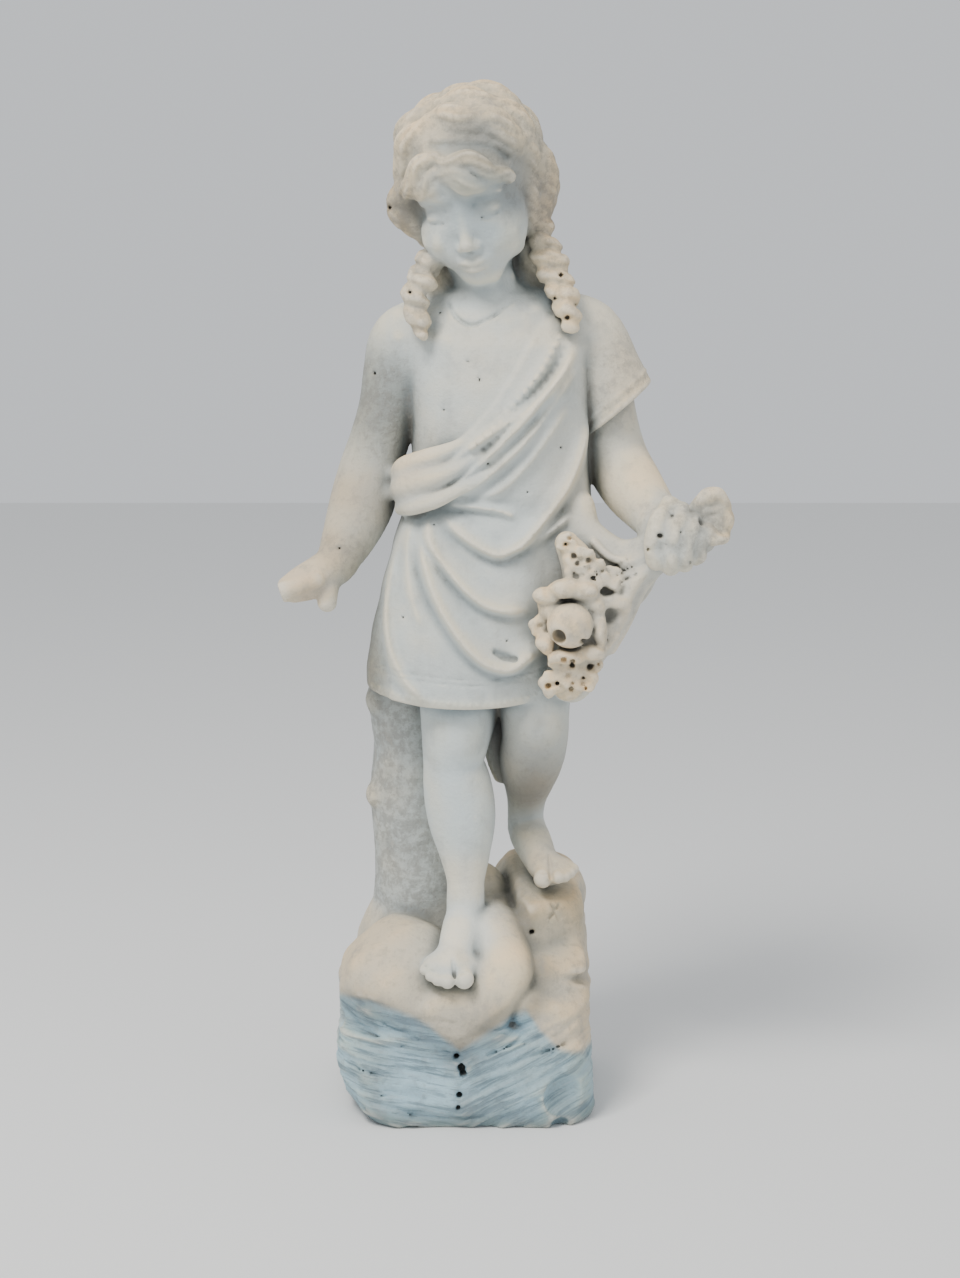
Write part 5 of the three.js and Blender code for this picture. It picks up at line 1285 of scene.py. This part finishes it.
def bake_modifiers(piece):
    """The piece's mesh becomes what its modifiers make of it."""
    made = piece.evaluated_get(bpy.context.evaluated_depsgraph_get())
    mesh = bpy.data.meshes.new_from_object(made)
    piece.modifiers.clear()
    old, piece.data = piece.data, mesh
    bpy.data.meshes.remove(old)
    mesh.name = piece.name


statue = net_mesh("marble_child", points, quads)
faces = len(statue.data.polygons)
if faces > MOST_TRIANGLES:
    thin = statue.modifiers.new("thin", "DECIMATE")
    thin.ratio = MOST_TRIANGLES / faces
    bake_modifiers(statue)
statue.data.shade_smooth()
print(faces, "triangles thinned to", len(statue.data.polygons))

# %% [markdown]
# ## Where weather reaches, and where shade is painted
#
# Grime stays in hollows, where shade is painted as well, rain washes what faces the sky, and edges are
# rubbed pale. All three follow from the block: the share of marble in a small cube round a point is a
# half on a flat face, more in a hollow and less on an edge. A middling cube tells the crests of folds
# from their troughs in the same way, for a painted highlight on crests and painted shade in troughs,
# and a large one tells how sheltered the point is, for painted shade with dirt there.

# %% Hollows, edges and open sky
REACHES = 7, 14, 40  # mm, half the sides of the three cubes
CLEAR = 2  # mm off the surface that the cubes stand


def share_of_marble(reach):
    """The share of marble in a cube that goes `reach` mm each way, as running sums over each axis."""
    n = max(1, round(reach / STEP))
    share = np.clip(0.5 - block.value / STEP, 0, 1).astype(np.float32)
    for axis in range(3):
        share = np.moveaxis(share, axis, 0)
        padded = np.concatenate([share[:1]] * n + [share] + [share[-1:]] * n)
        total = np.cumsum(padded, axis=0, dtype=np.float64)
        total = np.concatenate([np.zeros_like(total[:1]), total])
        share = ((total[2 * n + 1 :] - total[: -2 * n - 1]) / (2 * n + 1)).astype(np.float32)
        share = np.moveaxis(share, 0, axis)
    return share


def vertex_array(mesh, what, size=3):
    """One of the mesh's vertex lists as an array."""
    out = np.empty(len(mesh.vertices) * size, np.float32)
    mesh.vertices.foreach_get(what, out)
    return out.reshape(-1, size)


places = vertex_array(statue.data, "co") / MM
normals = vertex_array(statue.data, "normal")
near, middle, far = (at_points(share_of_marble(r), places + CLEAR * normals) for r in REACHES)
crest, trough = smooth(middle, 0.41, 0.27), smooth(middle, 0.43, 0.64)
sheltered = smooth(far, 0.5, 0.75)
hollow = smooth(near, 0.44, 0.72)
worn = smooth(near, 0.38, 0.16)
sky = smooth(normals[:, 2], -0.3, 0.9) * smooth(far, 0.62, 0.3)
print("hollow", round(float(hollow.mean()), 3), "worn", round(float(worn.mean()), 3))

# %% [markdown]
# The marble isn't one tone. Skin and cloth that the rain washes are a cool white, hair, flowers and
# forearms are beige with dust, what hangs under something is grey with lichen and painted shade, and
# the hewn front of the rock is slate blue. So each kind has a tint, and stains and patches of painted
# shade with soft edges lie over the tints. Crests are then made warmer and paler, partly rubbed and
# partly a painted highlight, troughs darker with painted shade, and sheltered places darker with
# painted shade and dirt. Near the floor the base is painted darker and bluer: grime with painted shade.

# %% Tints, stains and painted shade
TINTS = {
    "skin": (0.93, 0.98, 0.99), "cloth": (0.94, 0.98, 0.98), "hair": (0.92, 0.80, 0.63),
    "flowers": (1.06, 0.91, 0.70), "stump": (0.74, 0.77, 0.77), "rock": (0.98, 0.86, 0.70),
}
LICHEN = {"skin": 0.12, "cloth": 0.12, "hair": 0.6, "flowers": 0.45, "stump": 0.8, "rock": 0.4}
# stains, and patches of painted shadow where the statue shades itself
STAINS_AND_SHADE = [  # middle and reach in mm, colour, share of the colour, share of lichen
    [(-84, 0, 702), (44, 60, 66), (0.42, 0.44, 0.43), 1.0, 0.9],
    [(-104, -6, 604), (42, 50, 44), (0.66, 0.55, 0.42), 1.0, 0.5],
    [(-126, -44, 560), (34, 40, 30), (0.68, 0.57, 0.44), 0.9, 0.6],
    [(-154, -62, 530), (32, 34, 26), (0.86, 0.72, 0.57), 1.0, 0.4],
    # painted shade with dirt down the child's right side of the skirt and under its hem
    [(-104, -4, 490), (30, 80, 86), (0.31, 0.32, 0.29), 1.0, 0.9],
    [(-98, -20, 436), (34, 60, 34), (0.34, 0.35, 0.32), 0.9, 0.8],
    [(142, 0, 722), (44, 60, 56), (0.90, 0.80, 0.66), 0.9, 0.6],
    [(165, -20, 622), (44, 60, 44), (1.24, 1.04, 0.77), 1.0, 0.3],
    [(212, -85, 586), (46, 44, 44), (0.84, 0.79, 0.70), 0.9, 0.8],
    [(112, -70, 620), (40, 60, 60), (1.04, 0.96, 0.84), 0.9, 0.2],
    [(130, -80, 520), (60, 60, 80), (1.0, 0.90, 0.77), 0.9, 0.4],
    [(-48, -56, 640), (34, 40, 34), (0.98, 0.86, 0.70), 0.8, 0.3],
    [(70, -50, 762), (60, 40, 40), (1.03, 0.98, 0.88), 0.7, 0.2],
    # painted shadow with dirt on the left leg under the skirt, and painted shade between the legs
    [(64, -10, 352), (40, 60, 84), (0.28, 0.25, 0.22), 1.0, 0.6],
    [(34, -16, 370), (14, 50, 70), (0.34, 0.28, 0.23), 0.9, 0.5],
    [(-6, -44, 330), (46, 60, 100), (0.96, 1.05, 1.10), 0.8, 0.1],
    [(-2, -56, 236), (30, 40, 26), (1.20, 1.12, 0.98), 0.8, 0.1],
    [(0, -76, 184), (36, 70, 30), (1.26, 1.24, 1.18), 0.8, 0.1],
    [(84, -20, 236), (36, 40, 24), (0.84, 0.76, 0.66), 0.8, 0.4],
    [(50, -100, 150), (34, 50, 32), (1.34, 1.14, 0.86), 0.9, 0.2],
    [(96, -30, 190), (44, 60, 40), (0.70, 0.60, 0.44), 0.9, 0.5],
    [(94, -60, 140), (44, 60, 44), (0.86, 0.76, 0.62), 0.9, 0.5],
    # painted shadow of the hair on the face, and painted shade under the crown, on the fringe and at
    # the side of the head
    [(16, -110, 900), (54, 50, 62), (0.58, 0.67, 0.73), 0.95, 0.1],
    [(8, -112, 962), (44, 36, 20), (0.44, 0.42, 0.38), 0.95, 0.7],
    [(22, -100, 936), (44, 40, 16), (0.46, 0.45, 0.42), 0.8, 0.6],
    [(44, -60, 908), (22, 40, 30), (0.38, 0.40, 0.41), 0.8, 0.6],
    [(74, -20, 900), (22, 40, 40), (0.74, 0.58, 0.42), 0.8, 0.9],
    [(-58, -36, 892), (26, 40, 28), (0.46, 0.41, 0.34), 0.9, 0.9],
    [(-46, -46, 806), (22, 30, 40), (0.72, 0.72, 0.70), 0.8, 0.6],
]
# the colour near the floor: grime with painted blue-grey shade
BASE_GRIME_AND_SHADE, SLATE_COLOUR = (0.30, 0.42, 0.50), (0.66, 0.92, 1.08)
# painted highlight on crests, partly rubbed; painted shade in troughs; painted shade with dirt where
# sheltered
CREST_RUB_AND_HIGHLIGHT, TROUGH_SHADE, SHELTERED_SHADE_AND_DIRT = (1.20, 1.10, 0.95), (0.58, 0.62, 0.66), (0.60, 0.60, 0.60)
LIP_REACH, LIP_DROP, LIP_SHADE = 15, 6, 0.55  # mm, mm, and how dark it is under the rock's lips
SLATE_BACK = 0.6  # share of the slate colour on the sides and the back
BASE_DARK_TOP, BASE_DARK_FULL = 34, 4  # mm above the floor
SLATE_LINE = [  # x, and how high the hewn front reaches there
    [-133, 119], [-93, 126], [-63, 119], [-34, 104], [-5, 78], [18, 94], [42, 110], [60, 118],
    [74, 98], [92, 80], [121, 72], [133, 70],
]


def spread(values, mesh, times):
    """Each vertex takes the mean of itself and its neighbours, a few times over."""
    edges = np.empty(len(mesh.edges) * 2, np.int32)
    mesh.edges.foreach_get("vertices", edges)
    a, b = edges.reshape(-1, 2).T
    ends, others = np.concatenate([a, b]), np.concatenate([b, a])
    count = 1 + np.bincount(ends, minlength=len(values))
    for _ in range(times):
        sums = [np.bincount(ends, values[others, i], len(values)) for i in range(values.shape[1])]
        values = (values + np.stack(sums, 1)) / count[:, None]
    return values


spot = np.clip(np.rint((places - block.low) / STEP).astype(int), 0, block.count - 1)
kind = block.kind[tuple(spot.T)]
tone_and_shade = np.array([[*TINTS[k], LICHEN[k]] for k in KINDS])[kind]
tone_and_shade = spread(tone_and_shade, statue.data, 6)
for middle, reach, colour, share, lichen in STAINS_AND_SHADE:
    far_off = (((places - middle) / reach) ** 2).sum(1)
    soft_edge = np.exp(-(far_off**1.5))[:, None]
    tone_and_shade += soft_edge * [share, share, share, 1] * (np.array([*colour, lichen]) - tone_and_shade)
line_x, line_z = np.array(SLATE_LINE).T
under_line = smooth(np.interp(places[:, 0], line_x, line_z) - places[:, 2], -4, 6)
slate = under_line * np.maximum(smooth(-places[:, 1], 10, 70), SLATE_BACK)
# darker and bluer towards the floor: grime with painted shade
base_grime_and_shade = smooth(-places[:, 2], -BASE_DARK_TOP, -BASE_DARK_FULL)
for share, colour in ((slate, SLATE_COLOUR), (base_grime_and_shade, BASE_GRIME_AND_SHADE)):
    tone_and_shade[:, :3] += share[:, None] * (np.array(colour) - tone_and_shade[:, :3])
# painted highlight on crests, painted shade in troughs, and painted shade with dirt in sheltered places
for share, colour in ((crest, CREST_RUB_AND_HIGHLIGHT), (trough, TROUGH_SHADE), (sheltered, SHELTERED_SHADE_AND_DIRT)):
    tone_and_shade[:, :3] *= 1 + share[:, None] * (np.array(colour) - 1)
for lip in LIPS:
    path = spline(lip, 8)
    gap = np.linalg.norm(places[:, None, :3] - path[None, :, :3] - [0, 0, -LIP_DROP], axis=2).min(1)
    tone_and_shade[:, :3] *= (1 - LIP_SHADE * np.exp(-((gap / LIP_REACH) ** 2)))[:, None]
bed = bedding(*places.T) * MM


def keep_on_vertices(mesh, name, values):
    """A colour for each vertex that the material reads by its name."""
    layer = mesh.attributes.new(name, "FLOAT_COLOR", "POINT")
    full = np.ones((len(values), 4), np.float32)
    full[:, :3] = values
    layer.data.foreach_set("color", full.ravel())


keep_on_vertices(statue.data, "weather", np.stack([hollow, worn, sky], 1))
# the tint carries the stains and also the painted shade, shadow and highlight
keep_on_vertices(statue.data, "tint_and_shade", tone_and_shade[:, :3])
keep_on_vertices(statue.data, "places", np.stack([tone_and_shade[:, 3], slate, bed], 1))
print("kinds", dict(zip(KINDS, np.bincount(kind, minlength=len(KINDS)).tolist())))

# %% [markdown]
# ## Weathered marble
#
# The finish is worked out like a sum: clean marble, cool or cream in soft clouds, then grime in runs
# down the sides, grime and painted shade in the hollows, then pale rubbed edges. A small class lets the
# sum be written as one, because every sign on its values adds a Math node.

# %% Shader values that can be added up


class Value:
    """A socket of a material whose signs add Math nodes."""

    def __init__(self, material, socket):
        self.material, self.socket = material, socket

    def node(self, kind, inputs=(), output=0, **settings):
        """Adds a node: its settings first, then the values or links of its sockets by name or place."""
        tree = self.material.node_tree
        node = tree.nodes.new(kind)
        for name, value in settings.items():
            setattr(node, name, value)
        for name, value in dict(inputs).items():
            if isinstance(value, Value):
                tree.links.new(value.socket, node.inputs[name])
            else:
                node.inputs[name].default_value = value
        return Value(self.material, node.outputs[output])

    def math(self, operation, *others, clamp=False):
        """A Math node on this value and others."""
        inputs = dict(enumerate((self, *others)))
        return self.node("ShaderNodeMath", inputs, operation=operation, use_clamp=clamp)

    def __add__(self, other):
        return self.math("ADD", other)

    def __mul__(self, other):
        return self.math("MULTIPLY", other)

    def __sub__(self, other):
        return self.math("SUBTRACT", other)

    def __rsub__(self, other):
        return self.node("ShaderNodeMath", {0: other, 1: self}, operation="SUBTRACT")

    __radd__, __rmul__ = __add__, __mul__

    def between(self, low, high):
        """0 below low and 1 above high, or the other way round where low is the higher."""
        inputs = {"Value": self, "From Min": low, "From Max": high}
        return self.node("ShaderNodeMapRange", inputs, interpolation_type="SMOOTHSTEP")

    def mix(self, a, b):
        """Colour a where this mask is 0 and b where it is 1."""
        inputs = {0: self, 6: a, 7: b}
        return self.node("ShaderNodeMix", inputs, 2, data_type="RGBA")


print("signs on values: + - *")

# %% The finish, with painted shade in the hollows
COOL, CREAM, RUBBED = (0.63, 0.65, 0.63, 1), (0.70, 0.66, 0.57, 1), (0.80, 0.74, 0.62, 1)
GREY, SPOT, CRUST = (0.26, 0.27, 0.26, 1), (0.20, 0.19, 0.17, 1), (0.74, 0.70, 0.60, 1)
HATCH, SHADE, SHINE = (0.12, 0.17, 0.21, 1), (0.16, 0.23, 0.27, 1), (0.52, 0.60, 0.63, 1)
GRIME_AND_HOLLOW_SHADE, SPECK = (0.13, 0.125, 0.11, 1), (0.14, 0.13, 0.12, 1)
RUN_STRETCH = 0.16  # of the scale across, along z, which draws the runs out downwards
SCRATCH_ACROSS, SCRATCH_BEDS = 22, 210  # to the metre


def weathered_marble():
    """Clean marble, stained in clouds and runs, grimed and painted with shade in its hollows and rubbed
    on its edges.
    """
    material = bpy.data.materials.new("weathered_marble")
    material.use_nodes = True
    tree = material.node_tree
    shader = tree.nodes["Principled BSDF"]
    start = Value(material, None)
    place = start.node("ShaderNodeTexCoord", output="Object")

    def noise(scale, detail=4.0, rough=0.5, at=place, **more):
        inputs = {"Vector": at, "Scale": scale, "Detail": detail, "Roughness": rough, **more}
        return start.node("ShaderNodeTexNoise", inputs)

    def attribute(name):
        return start.node("ShaderNodeAttribute", attribute_name=name, output="Color")

    def parts(colour):
        split = start.node("ShaderNodeSeparateColor", {"Color": colour})
        return [Value(material, out) for out in split.socket.node.outputs]

    hollow, worn, sky = parts(attribute("weather"))
    lichen, slate, bed = parts(attribute("places"))
    stretched = start.node("ShaderNodeMapping", {"Vector": place, "Scale": (1, 1, RUN_STRETCH)})
    split = start.node("ShaderNodeSeparateXYZ", {"Vector": place}).socket.node.outputs
    x, y = Value(material, split["X"]), Value(material, split["Y"])
    axes = {"X": x * SCRATCH_ACROSS, "Y": y * SCRATCH_ACROSS, "Z": bed * SCRATCH_BEDS}
    along_beds = start.node("ShaderNodeCombineXYZ", axes)
    clouds = noise(7, 5, 0.6)
    patches = noise(26, 6, 0.62)
    runs = noise(55, 5, 0.6, stretched)
    blots = noise(95, 5, 0.7)
    pits = noise(170, 4, 0.65)
    grain = noise(520, 5, 0.7)
    scratches = noise(1.0, 4, 0.6, along_beds)

    colour = (clouds + sky * 0.25 - 0.12).between(0.38, 0.62).mix(COOL, CREAM)
    # the vertex tint, with its painted shade and highlight, multiplies the clean marble
    tinted_and_shaded = {0: 1.0, 6: colour, 7: attribute("tint_and_shade")}
    colour = start.node("ShaderNodeMix", tinted_and_shaded, 2, data_type="RGBA", blend_type="MULTIPLY")
    grey = (patches + runs * 0.5).between(0.74, 1.02) * (0.25 + lichen * 0.5)
    colour = grey.mix(colour, GREY)
    rubbed = (worn * 0.9 + (patches - 0.5) * 0.8).between(0.2, 0.9)
    colour = (rubbed * 0.5).mix(colour, RUBBED)
    spots = (blots * 0.6 + pits * 0.4 + lichen * 0.14).between(0.54, 0.68) * lichen
    colour = (spots * 0.62).mix(colour, SPOT)
    crust = (pits * 0.5 + patches * 0.5).between(0.56, 0.70) * lichen
    colour = (crust * 0.30).mix(colour, CRUST)
    hatch = (scratches * 0.7 + patches * 0.3).between(0.48, 0.60) * slate
    colour = (hatch * 0.60).mix(colour, HATCH)
    shade = clouds.between(0.44, 0.60) * slate
    colour = (shade * 0.35).mix(colour, SHADE)
    shine = scratches.between(0.44, 0.30) * slate
    colour = (shine * 0.25).mix(colour, SHINE)
    # grime and painted shade in the hollows, broken up by pits and patches
    grime_and_shade = (hollow * 1.1 + (pits - 0.5) * 0.8 + (patches - 0.5) * 0.6).between(0.16, 1.15)
    colour = (grime_and_shade * 0.80).mix(colour, GRIME_AND_HOLLOW_SHADE)
    specks = (grain + lichen * 0.05).between(0.62, 0.74) * (0.08 + lichen * 0.5)
    colour = specks.mix(colour, SPECK)

    height = (pits - 0.5) * 0.9 + (grain - 0.5) * 0.5 + (blots - 0.5) * lichen * 0.8
    height = height - scratches.between(0.48, 0.66) * slate * 0.8
    bump = {"Height": height, "Strength": 0.5, "Distance": 2.5 * MM}
    normal = start.node("ShaderNodeBump", bump)
    roughness = 0.62 + (patches * 0.2 + grime_and_shade * 0.12)
    for socket, value in (("Base Color", colour), ("Roughness", roughness), ("Normal", normal)):
        tree.links.new(value.socket, shader.inputs[socket])
    shader.inputs["Specular IOR Level"].default_value = 0.35
    return material


statue.data.materials.clear()
statue.data.materials.append(weathered_marble())
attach(statue, "root")
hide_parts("statue")
print(len(statue.data.materials[0].node_tree.nodes), "nodes in the marble")

# %% [markdown]
# ## Floor and light
#
# A plain pale floor, one broad soft light from above and in front, a fainter one from the other side
# and a pale sky: open shade, which shows the hollows without hard shadows.

# %% Floor and light
FLOOR_HALF = 6.0  # m
FLOOR_COLOUR, SKY_COLOUR, SKY_STRENGTH = (0.80, 0.80, 0.79, 1), (0.93, 0.96, 1.0, 1), 0.78
LIGHTS = [  # name, place, size, power, colour
    ["key", (-1.1, -1.6, 3.0), 1.1, 100, (1.0, 0.98, 0.94)],
    ["fill", (2.4, -1.8, 1.4), 2.0, 12, (0.93, 0.97, 1.0)],
]


def add_floor():
    """A pale square under the statue."""
    mesh = bpy.data.meshes.new("floor")
    corners = [(x * FLOOR_HALF, y * FLOOR_HALF, 0) for x, y in ((-1, -1), (1, -1), (1, 1), (-1, 1))]
    mesh.from_pydata(corners, [], [(0, 1, 2, 3)])
    floor = bpy.data.objects.new("floor", mesh)
    bpy.context.scene.collection.objects.link(floor)
    material = bpy.data.materials.new("pale_floor")
    material.use_nodes = True
    shader = material.node_tree.nodes["Principled BSDF"]
    shader.inputs["Base Color"].default_value = FLOOR_COLOUR
    shader.inputs["Roughness"].default_value = 0.9
    mesh.materials.append(material)
    return floor


def add_light(name, place, size, power, colour):
    """A square soft light that looks at the middle of the statue, in metres and watts."""
    data = bpy.data.lights.new(name, "AREA")
    data.size, data.energy, data.color = size, power, colour
    light = bpy.data.objects.new(name, data)
    light.location = place
    light.rotation_euler = (AIM - Vector(place)).to_track_quat("-Z", "Y").to_euler()
    bpy.context.scene.collection.objects.link(light)
    return light


add_floor()
for light in LIGHTS:
    add_light(*light)
world = bpy.data.worlds.new("sky")
world.use_nodes = True
world.node_tree.nodes["Background"].inputs["Color"].default_value = SKY_COLOUR
world.node_tree.nodes["Background"].inputs["Strength"].default_value = SKY_STRENGTH
bpy.context.scene.world = world
print("floor, two lights and a sky")
